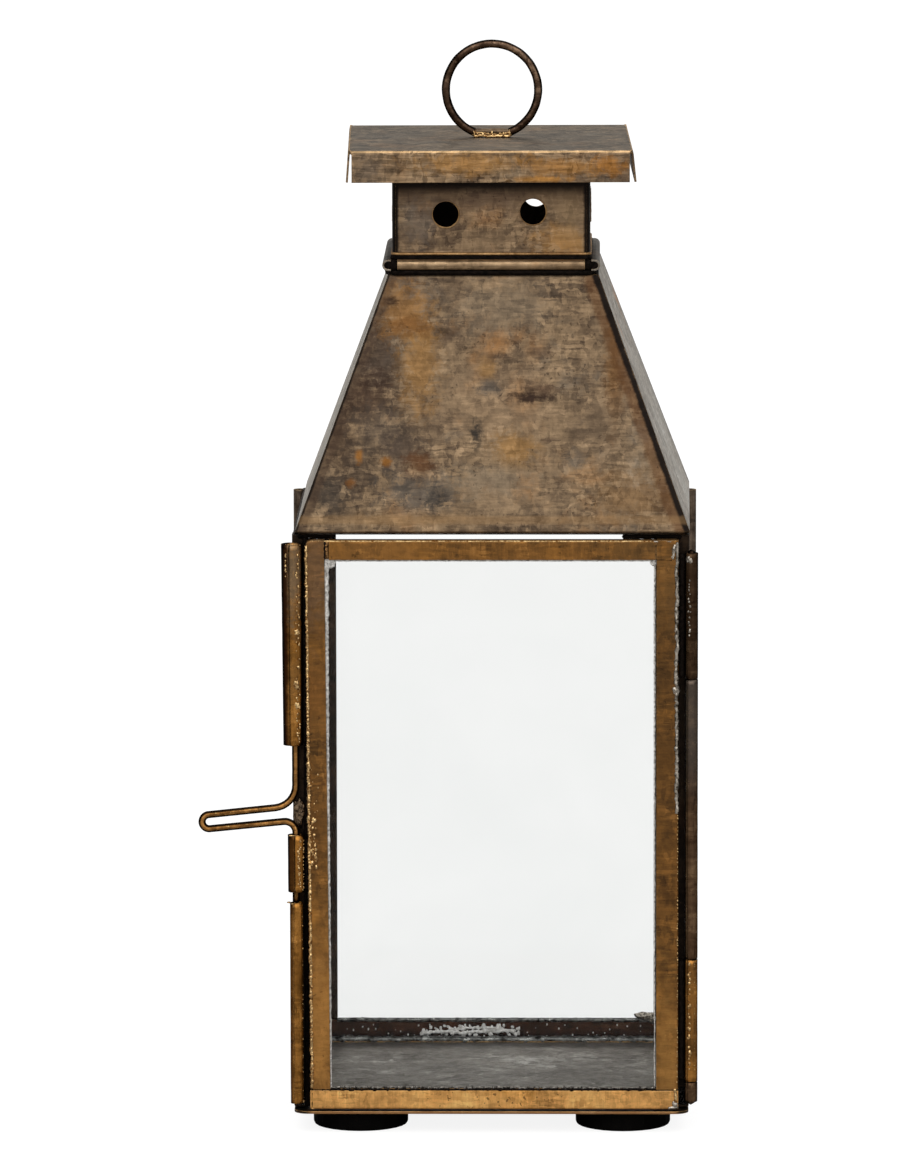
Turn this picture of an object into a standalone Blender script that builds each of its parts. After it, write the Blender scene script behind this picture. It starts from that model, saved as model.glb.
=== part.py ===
"""Small glass candle lantern in aged brass sheet, with a hinged glass door and a wire drop bolt.

Metres, +Z up. The front, with the door, faces -Y. The origin is the middle of the base plate's
top face, the floor that the candle stands on.
"""

import math

import bmesh
import bpy
from mathutils import Matrix, Vector

MM = 0.001
GAP = 0.3 * MM  # clearance between pieces that touch on the real lantern
SHEET = 0.6 * MM  # brass sheet of the cap, chimney and roof

# Base plate and feet
BASE_WIDTH = 109.6 * MM
BASE_DEPTH = 112.6 * MM
BASE_SHEET = 0.7 * MM
BASE_CORNER = 4.0 * MM
FLOOR_BORDER = 7.2 * MM  # flat border that the panels stand on
FLOOR_STEP = 0.3 * MM  # the floor is pressed this much below the border
FOOT_RADIUS = 13.2 * MM
FOOT_HEIGHT = 4.85 * MM
FOOT_ROUND = 0.9 * MM
FOOT_X = 36.6 * MM
FOOT_Y = 41.0 * MM

# Glazed panels: brass channel folded round the edges of a glass pane
PANEL_WIDTH = 102.2 * MM
PANEL_TOP = 161.25 * MM
CHANNEL_DEPTH = 3.8 * MM
CHANNEL_FACE = 5.4 * MM
CHANNEL_SHEET = 0.6 * MM
CHANNEL_ROUND = 0.7 * MM
GLASS_THICK = 2.0 * MM
SIDE_INNER_X = 51.1 * MM  # inner face of the left and right panels
BACK_INNER_Y = 52.2 * MM  # inner face of the back panel

# Door
DOOR_CENTRE_X = 0.8 * MM
DOOR_BOTTOM = 0.75 * MM
DOOR_TOP = 160.35 * MM
DOOR_FRONT_Y = -56.0 * MM
HINGE_STILE_FACE = 6.1 * MM

# Hinge: four knuckles on one wire pin at the right front corner
HINGE_X = 55.4 * MM
HINGE_Y = -54.2 * MM
TUBE_RADIUS = 1.95 * MM
TUBE_SHEET = 0.6 * MM
WIRE_RADIUS = 1.05 * MM
KNUCKLE_TOP = 156.7 * MM
KNUCKLE_UPPER_SPLIT = 121.4 * MM
KNUCKLE_LOWER_SPLIT = 42.9 * MM
KNUCKLE_BOTTOM = 8.7 * MM
KNUCKLE_FOOT = 2.9 * MM
PIN_OVERHANG = 0.6 * MM  # above the top knuckle and below the lowest
SOLDER_THICK = 1.2 * MM

# Drop bolt on the left front corner: two guide tubes on the door, a keeper tube on the body
LATCH_X = -54.0 * MM
LATCH_Y = -54.6 * MM
GUIDE_RADIUS = 2.6 * MM
GUIDE_UPPER_RADIUS = 2.9 * MM  # the long guide is rolled wider, and sits a little further out
GUIDE_UPPER_X = -54.6 * MM
GUIDE_UPPER_Y = -54.3 * MM
GUIDE_SHEET = 0.7 * MM
GUIDE_UPPER_BOTTOM = 103.2 * MM
GUIDE_UPPER_TOP = 159.2 * MM
GUIDE_SHORT_BOTTOM = 62.0 * MM
GUIDE_SHORT_TOP = 77.2 * MM
KEEPER_TOP = 58.9 * MM
KEEPER_BOTTOM = 2.5 * MM
BOLT_TOP = 143.0 * MM
BOLT_TIP = 59.3 * MM
BOLT_BEND = 4.4 * MM
HANDLE_REACH = 24.0 * MM  # from the bolt's axis to the middle of the hairpin's bend
HANDLE_RISE = 87.4 * MM  # height where the upper arm would meet the bolt's axis
HANDLE_DROP = 82.0 * MM  # height where the lower arm would meet the bolt's axis
HANDLE_END = 82.4 * MM
HAIRPIN_RADIUS = 2.05 * MM

# Rear corner tubes
REAR_TUBE_X = 55.85 * MM
REAR_TUBE_Y = 54.2 * MM
REAR_TUBE_TOP = 160.4 * MM

# Roof: four sheets, folded at the ridges, with a lip and a set-back skirt along the eaves
ROOF_TOP = 231.05 * MM
ROOF_EAVES = 162.65 * MM
ROOF_TOP_HALF = 28.6 * MM
ROOF_EAVES_HALF = 53.9 * MM
ROOF_LIP_RADIUS = 0.7 * MM
ROOF_SKIRT_HALF = 52.6 * MM
ROOF_SKIRT_BOTTOM = 161.55 * MM
ROOF_LEAN_FRONT = 1.0 * MM  # how much further out the right-hand ridges stand than the left ones
ROOF_LEAN_REAR = 1.9 * MM
RIDGE_FLANGE = 2.2 * MM
RIDGE_SEAM = 0.5 * MM

# Chimney, its vent holes and the half-round beads round its foot
CHIMNEY_HALF = 27.5 * MM
CHIMNEY_CORNER = 1.6 * MM
CHIMNEY_BOTTOM = 231.4 * MM
VENT_RADIUS = 3.6 * MM
VENT_OFFSET = 12.1 * MM
VENT_HEIGHT = 248.1 * MM
VENT_DRIFT = {  # the front and back vents are punched by hand, this far from their places in X and Z
    ("front", 0): (-0.5 * MM, -0.3 * MM),
    ("front", 1): (-0.5 * MM, 0.4 * MM),
    ("back", 1): (0.5 * MM, 2.5 * MM),
}
BEAD_HEIGHT = 3.1 * MM
BEAD_DEPTH = 2.4 * MM
BEAD_SHEET = 0.5 * MM
BEAD_MIDDLE = 233.8 * MM
BEAD_FRONT_HALF = 26.0 * MM
BEAD_SIDE_HALF = 29.8 * MM

# Cap and hanging ring
CAP_HALF = 39.4 * MM
CAP_TOP = 266.65 * MM
CAP_FLANGE = 8.9 * MM
CAP_SLIT = 0.7 * MM
CAP_BEND = 0.9 * MM
CAP_TURN = math.radians(1.15)  # the lid was soldered on slightly askew
CAP_SHIFT = -0.75 * MM  # and a little to the left
CAP_SPLAY = {"-X": 0.6 * MM, "+X": 0.9 * MM, "-Y": 0.1 * MM, "+Y": 0.1 * MM}
RING_TOP = 294.15 * MM
RING_RADIUS = 12.9 * MM
RING_WIRE = 1.2 * MM
SADDLE_LENGTH = 9.8 * MM
SADDLE_WIDTH = 4.4 * MM
SADDLE_HEIGHT = 2.3 * MM

AGED_BRASS = (0.42, 0.26, 0.09)
DARK_BRASS = (0.20, 0.13, 0.07)
GREY_BRASS = (0.26, 0.22, 0.17)
BRIGHT_BRASS = (0.60, 0.40, 0.16)
DARK_WIRE = (0.10, 0.06, 0.04)
CLEAR_GLASS = (0.92, 0.95, 0.94)
BLACK_RUBBER = (0.015, 0.015, 0.015)


def start_scene():
    """Remove what the scene holds and make the two collections."""
    for old in list(bpy.data.objects):
        bpy.data.objects.remove(old, do_unlink=True)
    made = []
    for name in ("glass_lantern", "cutters"):
        collection = bpy.data.collections.new(name)
        bpy.context.scene.collection.children.link(collection)
        made.append(collection)
    return made


LANTERN, CUTTERS = start_scene()


def material(name, colour, roughness, metallic, transmission=0.0):
    made = bpy.data.materials.new(name)
    made.use_nodes = True
    shader = made.node_tree.nodes["Principled BSDF"]
    shader.inputs["Base Color"].default_value = (*colour, 1.0)
    shader.inputs["Roughness"].default_value = roughness
    shader.inputs["Metallic"].default_value = metallic
    shader.inputs["Transmission Weight"].default_value = transmission
    return made


def brass(name, colour=AGED_BRASS, roughness=0.45):
    return material(name + "_brass", colour, roughness, 1.0)


def empty(name, location, parent=None):
    """An axis marker that moving pieces hang from."""
    made = bpy.data.objects.new(name, None)
    made.empty_display_size = 10 * MM
    LANTERN.objects.link(made)
    made.location = location
    if parent:
        made.parent = parent
        made.matrix_parent_inverse = Matrix.Translation(-parent.matrix_world.translation)
    bpy.context.view_layer.update()
    return made


def place(name, data, finish, location=(0, 0, 0), turn=0.0, parent=None):
    """Link an object to the lantern, turned about Z at a world location."""
    made = bpy.data.objects.new(name, data)
    LANTERN.objects.link(made)
    made.location = location
    made.rotation_euler = (0, 0, turn)
    made.data.materials.append(finish)
    if parent:
        made.parent = parent
        made.matrix_parent_inverse = Matrix.Translation(-parent.matrix_world.translation)
    return made


def mesh_from(name, build):
    """A mesh filled by build, a function that works on an empty bmesh."""
    work = bmesh.new()
    build(work)
    bmesh.ops.recalc_face_normals(work, faces=work.faces)
    data = bpy.data.meshes.new(name)
    work.to_mesh(data)
    work.free()
    return data


def smooth(data, angle=35):
    data.shade_smooth()
    data.set_sharp_from_angle(angle=math.radians(angle))
    return data


def solidify(obj, thickness, offset=0.0):
    shell = obj.modifiers.new("sheet", "SOLIDIFY")
    shell.thickness = thickness
    shell.offset = offset
    shell.use_even_offset = True


def box_mesh(name, size, middle=(0, 0, 0)):
    def build(work):
        bmesh.ops.create_cube(work, size=1.0)
        bmesh.ops.scale(work, vec=size, verts=work.verts)
        bmesh.ops.translate(work, vec=middle, verts=work.verts)

    return mesh_from(name, build)


def tube_mesh(name, radius, bottom, top, sides=20):
    """The open outer wall of a tube; Solidify gives it its thickness."""

    def build(work):
        length = top - bottom
        bmesh.ops.create_cone(
            work, cap_ends=False, segments=sides, radius1=radius, radius2=radius, depth=length
        )
        bmesh.ops.translate(work, vec=(0, 0, bottom + length / 2), verts=work.verts)

    return smooth(mesh_from(name, build))


def round_bar(name, radius, length, sides=24):
    def build(work):
        bmesh.ops.create_cone(
            work, cap_ends=True, segments=sides, radius1=radius, radius2=radius, depth=length
        )

    return mesh_from(name, build)


def cutter(name, data, location, rotation=(0, 0, 0)):
    made = bpy.data.objects.new(name, data)
    CUTTERS.objects.link(made)
    made.location = location
    made.rotation_euler = rotation
    made.hide_render = True
    made.display_type = "WIRE"
    return made


def boolean(obj, other, operation):
    step = obj.modifiers.new(operation.lower(), "BOOLEAN")
    step.operation = operation
    step.solver = "EXACT"
    step.object = other


def arc(centre, radius, start, end, steps):
    """Points on an arc from start to end, in degrees."""
    points = []
    for step in range(steps + 1):
        angle = math.radians(start + (end - start) * step / steps)
        points.append(
            (centre[0] + radius * math.cos(angle), centre[1] + radius * math.sin(angle))
        )
    return points


def channel_mesh(name, length, depth, face, sheet, corner, steps=3):
    """The middle surface of a folded channel along X, open towards +Z, standing on Z = 0."""
    half = (depth - sheet) / 2
    low = sheet / 2
    bend = corner - sheet / 2
    section = [(-half, face)]
    section += arc((-half + bend, low + bend), bend, 180, 270, steps)
    right_bend = arc((half - bend, low + bend), bend, 270, 360, steps)
    full_round = half - bend < 0.01 * MM
    section += right_bend[1:] if full_round else right_bend
    section += [(half, face)]

    def build(work):
        verts = [work.verts.new((-length / 2, y, z)) for y, z in section]
        edges = [work.edges.new(pair) for pair in zip(verts, verts[1:])]
        grown = bmesh.ops.extrude_edge_only(work, edges=edges)["geom"]
        moved = [item for item in grown if isinstance(item, bmesh.types.BMVert)]
        bmesh.ops.translate(work, vec=(length, 0, 0), verts=moved)

    return smooth(mesh_from(name, build), 50)


def channel(name, length, frame, turn, finish, parent=None, face=CHANNEL_FACE):
    """One channel of a panel's frame: frame places it, turn rolls it in the panel's plane."""
    data = channel_mesh(name, length, CHANNEL_DEPTH, face, CHANNEL_SHEET, CHANNEL_ROUND)
    made = place(name, data, finish, parent=parent)
    made.matrix_basis = frame @ Matrix.Rotation(turn, 4, "Y")
    solidify(made, CHANNEL_SHEET)
    return made


def glazed_panel(prefix, frame, bottom, top, colour, parent=None, stiles=None):
    """Four channels and the pane in them. The panel's X runs across it and its Y through it.

    The bottom rail runs full width, the stiles stand on it, and the top rail fits between them.
    """
    left_face, right_face = stiles or (CHANNEL_FACE, CHANNEL_FACE)
    half = PANEL_WIDTH / 2
    foot = bottom + CHANNEL_FACE + GAP
    stile_length = top - foot
    middle = foot + stile_length / 2
    rail_left = -half + left_face + GAP
    rail_right = half - right_face - GAP

    def spot(x, z):
        return frame @ Matrix.Translation((x, 0, z))

    finish = brass(prefix + "_bottom_rail", colour)
    channel(prefix + "_bottom_rail", PANEL_WIDTH, spot(0, bottom), 0, finish, parent)
    finish = brass(prefix + "_top_rail", colour)
    rail_middle = (rail_left + rail_right) / 2
    channel(
        prefix + "_top_rail", rail_right - rail_left, spot(rail_middle, top), math.pi, finish, parent
    )
    for side, x, turn, face in (
        ("left", -half, math.pi / 2, left_face),
        ("right", half, -math.pi / 2, right_face),
    ):
        name = f"{prefix}_stile_{side}"
        finish = brass(name, colour)
        channel(name, stile_length, spot(x, middle), turn, finish, parent, face)

    edge = CHANNEL_SHEET + GAP
    size = (PANEL_WIDTH - 2 * edge, GLASS_THICK, top - bottom - 2 * edge)
    glass = material(prefix + "_clear_glass", CLEAR_GLASS, 0.03, 0.0, transmission=1.0)
    pane = place(prefix + "_glass", box_mesh(prefix + "_glass", size), glass, parent=parent)
    pane.matrix_basis = spot(0, (top + bottom) / 2)


def soldered_tube(name, axis, bottom, top, radius, sheet, webs, colour, parent=None):
    """A rolled tube with webs of solder that reach towards the channel that holds it.

    Each web is the X range and the Y range that it fills, from the tube's wall outwards.
    """
    data = tube_mesh(name, radius, bottom, top)
    tube = place(name, data, brass(name, colour), (*axis, 0), parent=parent)
    solidify(tube, sheet, offset=-1.0)
    for number, (x_range, y_range) in enumerate(webs):
        size = (x_range[1] - x_range[0], y_range[1] - y_range[0], top - bottom - 2 * MM)
        middle = (sum(x_range) / 2, sum(y_range) / 2, (top + bottom) / 2)
        web = cutter(f"{name}_web_{number}", box_mesh(f"{name}_web", size), middle)
        boolean(tube, web, "UNION")
    return tube


def wire_curve(name, points, radius, sides=2):
    """A round wire along points in the XZ plane."""
    data = bpy.data.curves.new(name, "CURVE")
    data.dimensions = "3D"
    data.bevel_depth = radius
    data.bevel_resolution = sides
    data.use_fill_caps = True
    spline = data.splines.new("POLY")
    spline.points.add(len(points) - 1)
    for target, (x, z) in zip(spline.points, points):
        target.co = (x, 0, z, 1)
    spline.use_smooth = True
    return data


def fillet(corner, before, after, radius, steps=6):
    """The rounded corner between the lines from before to corner and from corner to after."""
    corner, before, after = Vector(corner), Vector(before), Vector(after)
    inward = (before - corner).normalized()
    outward = (after - corner).normalized()
    half_angle = inward.angle(outward) / 2
    centre = corner + (inward + outward).normalized() * radius / math.sin(half_angle)
    reach = radius / math.tan(half_angle)
    start = corner + inward * reach - centre
    end = corner + outward * reach - centre
    sweep = start.angle_signed(end)
    points = []
    for step in range(steps + 1):
        turned = start.copy()
        turned.rotate(Matrix.Rotation(-sweep * step / steps, 2))
        points.append(tuple(centre + turned))
    return points


def base_and_feet():
    def build(work):
        bmesh.ops.create_cube(work, size=1.0)
        bmesh.ops.scale(work, vec=(BASE_WIDTH, BASE_DEPTH, BASE_SHEET), verts=work.verts)
        bmesh.ops.translate(work, vec=(0, 0, FLOOR_STEP - BASE_SHEET / 2), verts=work.verts)
        upright = [e for e in work.edges if abs(e.verts[0].co.z - e.verts[1].co.z) > BASE_SHEET / 2]
        bmesh.ops.bevel(
            work, geom=upright, offset=BASE_CORNER, segments=5, profile=0.5, affect="EDGES"
        )

    plate = place("base_plate", mesh_from("base_plate", build), brass("base_plate", GREY_BRASS))
    across = BASE_WIDTH - 2 * FLOOR_BORDER
    through = BASE_DEPTH - 2 * FLOOR_BORDER
    recess = box_mesh("floor_recess", (across, through, BASE_SHEET))
    boolean(plate, cutter("floor_recess", recess, (0, 0, BASE_SHEET / 2)), "DIFFERENCE")
    swell = box_mesh("floor_underside", (across, through, BASE_SHEET - FLOOR_STEP / 2))
    underside = (0, 0, -(BASE_SHEET + FLOOR_STEP / 2) / 2)
    boolean(plate, cutter("floor_underside", swell, underside), "UNION")

    rubber = material("foot_rubber", BLACK_RUBBER, 0.6, 0.0)
    for side, x in (("left", -FOOT_X), ("right", FOOT_X)):
        for end, y in (("front", -FOOT_Y), ("rear", FOOT_Y)):
            name = f"foot_{end}_{side}"
            foot = place(name, foot_profile(name), rubber, (x, y, -BASE_SHEET - GAP))
            turn = foot.modifiers.new("turn", "SCREW")
            turn.steps = turn.render_steps = 28
            turn.use_merge_vertices = True
            turn.merge_threshold = 0.0001 * MM


def foot_profile(name):
    """Half section of a foot, from the middle of its top, down its side, to the middle below."""
    low = -FOOT_HEIGHT + FOOT_ROUND
    section = [(0, 0), (FOOT_RADIUS, 0)]
    section += arc((FOOT_RADIUS - FOOT_ROUND, low), FOOT_ROUND, 0, -90, 3)
    section += [(0, -FOOT_HEIGHT)]

    def build(work):
        verts = [work.verts.new((x, 0, z)) for x, z in section]
        for pair in zip(verts, verts[1:]):
            work.edges.new(pair)

    return mesh_from(name, build)


def body_panels():
    side_middle = SIDE_INNER_X + CHANNEL_DEPTH / 2
    for side, x in (("left", -side_middle), ("right", side_middle)):
        frame = Matrix.Translation((x, 0, 0)) @ Matrix.Rotation(math.pi / 2, 4, "Z")
        glazed_panel(side, frame, FLOOR_STEP + GAP, PANEL_TOP, DARK_BRASS)
    frame = Matrix.Translation((0, BACK_INNER_Y + CHANNEL_DEPTH / 2, 0))
    glazed_panel("back", frame, FLOOR_STEP + GAP, PANEL_TOP, DARK_BRASS)

    web_y = (REAR_TUBE_Y - SOLDER_THICK / 2, REAR_TUBE_Y + SOLDER_THICK / 2)
    inner = PANEL_WIDTH / 2 + GAP
    wall = REAR_TUBE_X - TUBE_RADIUS + TUBE_SHEET / 2
    for side, sign in (("left", -1), ("right", 1)):
        web_x = tuple(sorted((sign * inner, sign * wall)))
        soldered_tube(
            f"rear_tube_{side}", (sign * REAR_TUBE_X, REAR_TUBE_Y), FLOOR_STEP + GAP,
            REAR_TUBE_TOP, TUBE_RADIUS, TUBE_SHEET, [(web_x, web_y)], GREY_BRASS,
        )


def door(axis):
    frame = Matrix.Translation((DOOR_CENTRE_X, DOOR_FRONT_Y + CHANNEL_DEPTH / 2, 0))
    glazed_panel(
        "door", frame, DOOR_BOTTOM, DOOR_TOP, AGED_BRASS, axis, (CHANNEL_FACE, HINGE_STILE_FACE)
    )


def hinge(axis):
    centre = (HINGE_X, HINGE_Y)
    wall = TUBE_RADIUS - TUBE_SHEET / 2
    to_door = (
        (DOOR_CENTRE_X + PANEL_WIDTH / 2 + GAP, HINGE_X - wall),
        (HINGE_Y - SOLDER_THICK / 2, HINGE_Y + SOLDER_THICK / 2),
    )
    to_side = (
        (SIDE_INNER_X + CHANNEL_DEPTH - SOLDER_THICK, SIDE_INNER_X + CHANNEL_DEPTH),
        (HINGE_Y + wall, -PANEL_WIDTH / 2 - GAP),
    )
    for name, bottom, top, web, parent in (
        ("door_knuckle_upper", KNUCKLE_UPPER_SPLIT + GAP, KNUCKLE_TOP, to_door, axis),
        ("body_knuckle", KNUCKLE_LOWER_SPLIT + GAP, KNUCKLE_UPPER_SPLIT, to_side, None),
        ("door_knuckle_lower", KNUCKLE_BOTTOM, KNUCKLE_LOWER_SPLIT, to_door, axis),
        ("body_knuckle_foot", KNUCKLE_FOOT, KNUCKLE_BOTTOM - GAP, to_side, None),
    ):
        soldered_tube(name, centre, bottom, top, TUBE_RADIUS, TUBE_SHEET, [web], DARK_BRASS, parent)

    path = [(0, KNUCKLE_TOP + PIN_OVERHANG), (0, KNUCKLE_FOOT - PIN_OVERHANG)]
    pin = wire_curve("hinge_pin", path, WIRE_RADIUS)
    place("hinge_pin", pin, brass("hinge_pin", DARK_WIRE), (*centre, 0))


def latch(door_axis, bolt_axis):
    centre = (LATCH_X, LATCH_Y)
    guide_wall = GUIDE_RADIUS - GUIDE_SHEET / 2
    to_door = (
        (LATCH_X + guide_wall, DOOR_CENTRE_X - PANEL_WIDTH / 2 - GAP),
        (LATCH_Y - SOLDER_THICK / 2, LATCH_Y + SOLDER_THICK / 2),
    )
    upper_wall = GUIDE_UPPER_X + GUIDE_UPPER_RADIUS - GUIDE_SHEET / 2
    upper_to_door = ((upper_wall, to_door[0][1]), to_door[1])
    keeper_wall = TUBE_RADIUS - TUBE_SHEET / 2
    to_side = (
        (LATCH_X - SOLDER_THICK / 2, LATCH_X + SOLDER_THICK / 2),
        (LATCH_Y + keeper_wall, -PANEL_WIDTH / 2 - GAP),
    )
    soldered_tube(
        "bolt_guide_upper", (GUIDE_UPPER_X, GUIDE_UPPER_Y), GUIDE_UPPER_BOTTOM, GUIDE_UPPER_TOP,
        GUIDE_UPPER_RADIUS, GUIDE_SHEET, [upper_to_door], AGED_BRASS, door_axis,
    )
    soldered_tube(
        "bolt_guide_short", centre, GUIDE_SHORT_BOTTOM, GUIDE_SHORT_TOP, GUIDE_RADIUS,
        GUIDE_SHEET, [to_door], AGED_BRASS, door_axis,
    )
    soldered_tube(
        "bolt_keeper", centre, KEEPER_BOTTOM, KEEPER_TOP, TUBE_RADIUS, TUBE_SHEET,
        [to_side], AGED_BRASS,
    )

    # The bolt is one wire: down from the upper guide, out and back as a hairpin, down to its tip.
    upper_root, lower_root = (0, HANDLE_RISE), (0, HANDLE_DROP)
    upper_end = (-HANDLE_REACH, HANDLE_END + HAIRPIN_RADIUS)
    lower_end = (-HANDLE_REACH, HANDLE_END - HAIRPIN_RADIUS)
    path = [(0, BOLT_TOP)]
    path += fillet(upper_root, (0, BOLT_TOP), upper_end, BOLT_BEND)
    path += arc((-HANDLE_REACH, HANDLE_END), HAIRPIN_RADIUS, 90, 270, 10)
    path += fillet(lower_root, lower_end, (0, BOLT_TIP), BOLT_BEND * 0.7)
    path += [(0, BOLT_TIP)]
    bolt = wire_curve("drop_bolt", path, WIRE_RADIUS)
    place("drop_bolt", bolt, brass("drop_bolt", DARK_WIRE), (*centre, 0), parent=bolt_axis)


def roof():
    """Each sheet is a loft down the slope, round the lip and down the skirt."""
    lip = arc((ROOF_EAVES_HALF - ROOF_LIP_RADIUS, ROOF_EAVES), ROOF_LIP_RADIUS, 0, -90, 3)
    profile = [(ROOF_TOP_HALF, ROOF_TOP), *lip]
    profile.append((ROOF_SKIRT_HALF, ROOF_SKIRT_BOTTOM))

    def folded(out, z):
        """The ends turn back along the ridges into the side faces."""
        turned = -out + RIDGE_FLANGE
        return [(-out, turned, z), (-out, -out, z), (out, -out, z), (out, turned, z)]

    def plain(out, z):
        reach = out - RIDGE_FLANGE - RIDGE_SEAM
        return [(-reach, -out, z), (reach, -out, z)]

    def lean(point, spin):
        """The roof's right-hand side stands further out than its left, most of all at the rear."""
        turned = spin @ Vector(point)
        if turned.x > 0:
            rearward = (turned.y / ROOF_EAVES_HALF + 1) / 2
            turned.x += ROOF_LEAN_FRONT + (ROOF_LEAN_REAR - ROOF_LEAN_FRONT) * rearward
        return spin.inverted() @ turned

    for side, turn, row in (
        ("front", 0, folded), ("right", math.pi / 2, plain),
        ("back", math.pi, folded), ("left", -math.pi / 2, plain),
    ):
        name = f"roof_{side}"
        spin = Matrix.Rotation(turn, 3, "Z")

        def build(work, row=row, spin=spin):
            rows = [[work.verts.new(lean(point, spin)) for point in row(*spot)] for spot in profile]
            for upper, lower in zip(rows, rows[1:]):
                for a, b, c, d in zip(upper, upper[1:], lower[1:], lower):
                    work.faces.new((d, c, b, a))

        sheet = place(name, smooth(mesh_from(name, build)), brass(name, GREY_BRASS), turn=turn)
        solidify(sheet, SHEET, offset=-1.0)


def chimney():
    top = CAP_TOP - SHEET - GAP

    def build(work):
        corner = CHIMNEY_HALF - CHIMNEY_CORNER
        outline = []
        for turn, (x, y) in zip((0, 90, 180, 270), ((1, 1), (-1, 1), (-1, -1), (1, -1))):
            outline += arc((x * corner, y * corner), CHIMNEY_CORNER, turn, turn + 90, 4)
        verts = [work.verts.new((x, y, CHIMNEY_BOTTOM)) for x, y in outline]
        edges = [work.edges.new(pair) for pair in zip(verts, verts[1:] + verts[:1])]
        grown = bmesh.ops.extrude_edge_only(work, edges=edges)["geom"]
        moved = [item for item in grown if isinstance(item, bmesh.types.BMVert)]
        bmesh.ops.translate(work, vec=(0, 0, top - CHIMNEY_BOTTOM), verts=moved)

    wall = place("chimney", smooth(mesh_from("chimney", build), 50), brass("chimney", GREY_BRASS))
    solidify(wall, SHEET, offset=-1.0)
    for side, turn in (("front", 0), ("right", 90), ("back", 180), ("left", 270)):
        for number, x in enumerate((-VENT_OFFSET, VENT_OFFSET)):
            across, up = VENT_DRIFT.get((side, number), (0, 0))
            spot = Vector((x + across, -CHIMNEY_HALF, VENT_HEIGHT + up))
            spot = Matrix.Rotation(math.radians(turn), 4, "Z") @ spot
            name = f"vent_{side}_{number}"
            drill = round_bar(name, VENT_RADIUS, 6 * MM)
            hole = cutter(name, drill, spot, (math.pi / 2, 0, math.radians(turn)))
            boolean(wall, hole, "DIFFERENCE")

    out = CHIMNEY_HALF + GAP + BEAD_DEPTH
    for side, turn, half in (
        ("front", 0, BEAD_FRONT_HALF), ("right", 90, BEAD_SIDE_HALF),
        ("back", 180, BEAD_FRONT_HALF), ("left", 270, BEAD_SIDE_HALF),
    ):
        name = f"collar_bead_{side}"
        data = channel_mesh(name, 2 * half, BEAD_HEIGHT, BEAD_DEPTH, BEAD_SHEET, BEAD_HEIGHT / 2, 5)
        bead = place(name, data, brass(name, AGED_BRASS))
        spin = Matrix.Rotation(math.radians(turn), 4, "Z")
        lay = Matrix.Rotation(-math.pi / 2, 4, "X")
        bead.matrix_basis = spin @ Matrix.Translation((0, -out, BEAD_MIDDLE)) @ lay
        solidify(bead, BEAD_SHEET)


def cap():
    """A square of sheet with its four edges folded down, slit at the corners."""
    edge = CAP_HALF - SHEET / 2
    flat = CAP_TOP - SHEET / 2
    slit = edge - CAP_SLIT
    lines = (-edge, -slit, slit, edge)

    def build(work):
        bmesh.ops.create_grid(work, x_segments=3, y_segments=3, size=1.0)
        for vert in work.verts:
            column, row = (round((value + 1) * 1.5) for value in vert.co.xy)
            vert.co = (lines[column], lines[row], flat)
        folds = []
        for axis, sign, key in ((0, -1, "-X"), (0, 1, "+X"), (1, -1, "-Y"), (1, 1, "+Y")):
            border = [
                e for e in work.edges
                if all(abs(v.co[axis] - sign * edge) < 0.01 * MM for v in e.verts)
                and all(abs(v.co[1 - axis]) < edge - 0.01 * MM for v in e.verts)
                and all(abs(v.co.z - flat) < 0.01 * MM for v in e.verts)
            ]
            grown = bmesh.ops.extrude_edge_only(work, edges=border)["geom"]
            moved = [item for item in grown if isinstance(item, bmesh.types.BMVert)]
            drop = Vector((0, 0, -CAP_FLANGE + SHEET / 2))
            drop[axis] = sign * CAP_SPLAY[key]
            bmesh.ops.translate(work, vec=drop, verts=moved)
            folds += border
        bmesh.ops.bevel(work, geom=folds, offset=CAP_BEND, segments=3, profile=0.5, affect="EDGES")

    data = smooth(mesh_from("cap", build), 50)
    lid = place("cap", data, brass("cap", GREY_BRASS), (CAP_SHIFT, 0, 0), turn=CAP_TURN)
    solidify(lid, SHEET)


def hanging_ring():
    middle = RING_TOP - RING_WIRE - RING_RADIUS
    opening = math.degrees(math.asin((SADDLE_LENGTH / 2 + GAP) / RING_RADIUS))
    points = arc((0, middle), RING_RADIUS, -90 + opening, 270 - opening, 48)
    ring = wire_curve("hanging_ring", points, RING_WIRE)
    place("hanging_ring", ring, brass("hanging_ring", DARK_WIRE))

    size = (SADDLE_LENGTH, SADDLE_WIDTH, SADDLE_HEIGHT)
    saddle = box_mesh("ring_saddle", size, (0, 0, CAP_TOP + GAP + SADDLE_HEIGHT / 2))
    block = place("ring_saddle", saddle, brass("ring_saddle", BRIGHT_BRASS))
    edge = block.modifiers.new("round", "BEVEL")
    edge.width = 0.7 * MM
    edge.segments = 2


def build_lantern():
    door_axis = empty("door_axis", (HINGE_X, HINGE_Y, 0))
    bolt_axis = empty("bolt_axis", (LATCH_X, LATCH_Y, 0), door_axis)
    base_and_feet()
    body_panels()
    door(door_axis)
    hinge(door_axis)
    latch(door_axis, bolt_axis)
    roof()
    chimney()
    cap()
    hanging_ring()


build_lantern()
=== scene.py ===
import math
import random

import bmesh
import bpy
from mathutils import Matrix, Vector, noise


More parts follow.
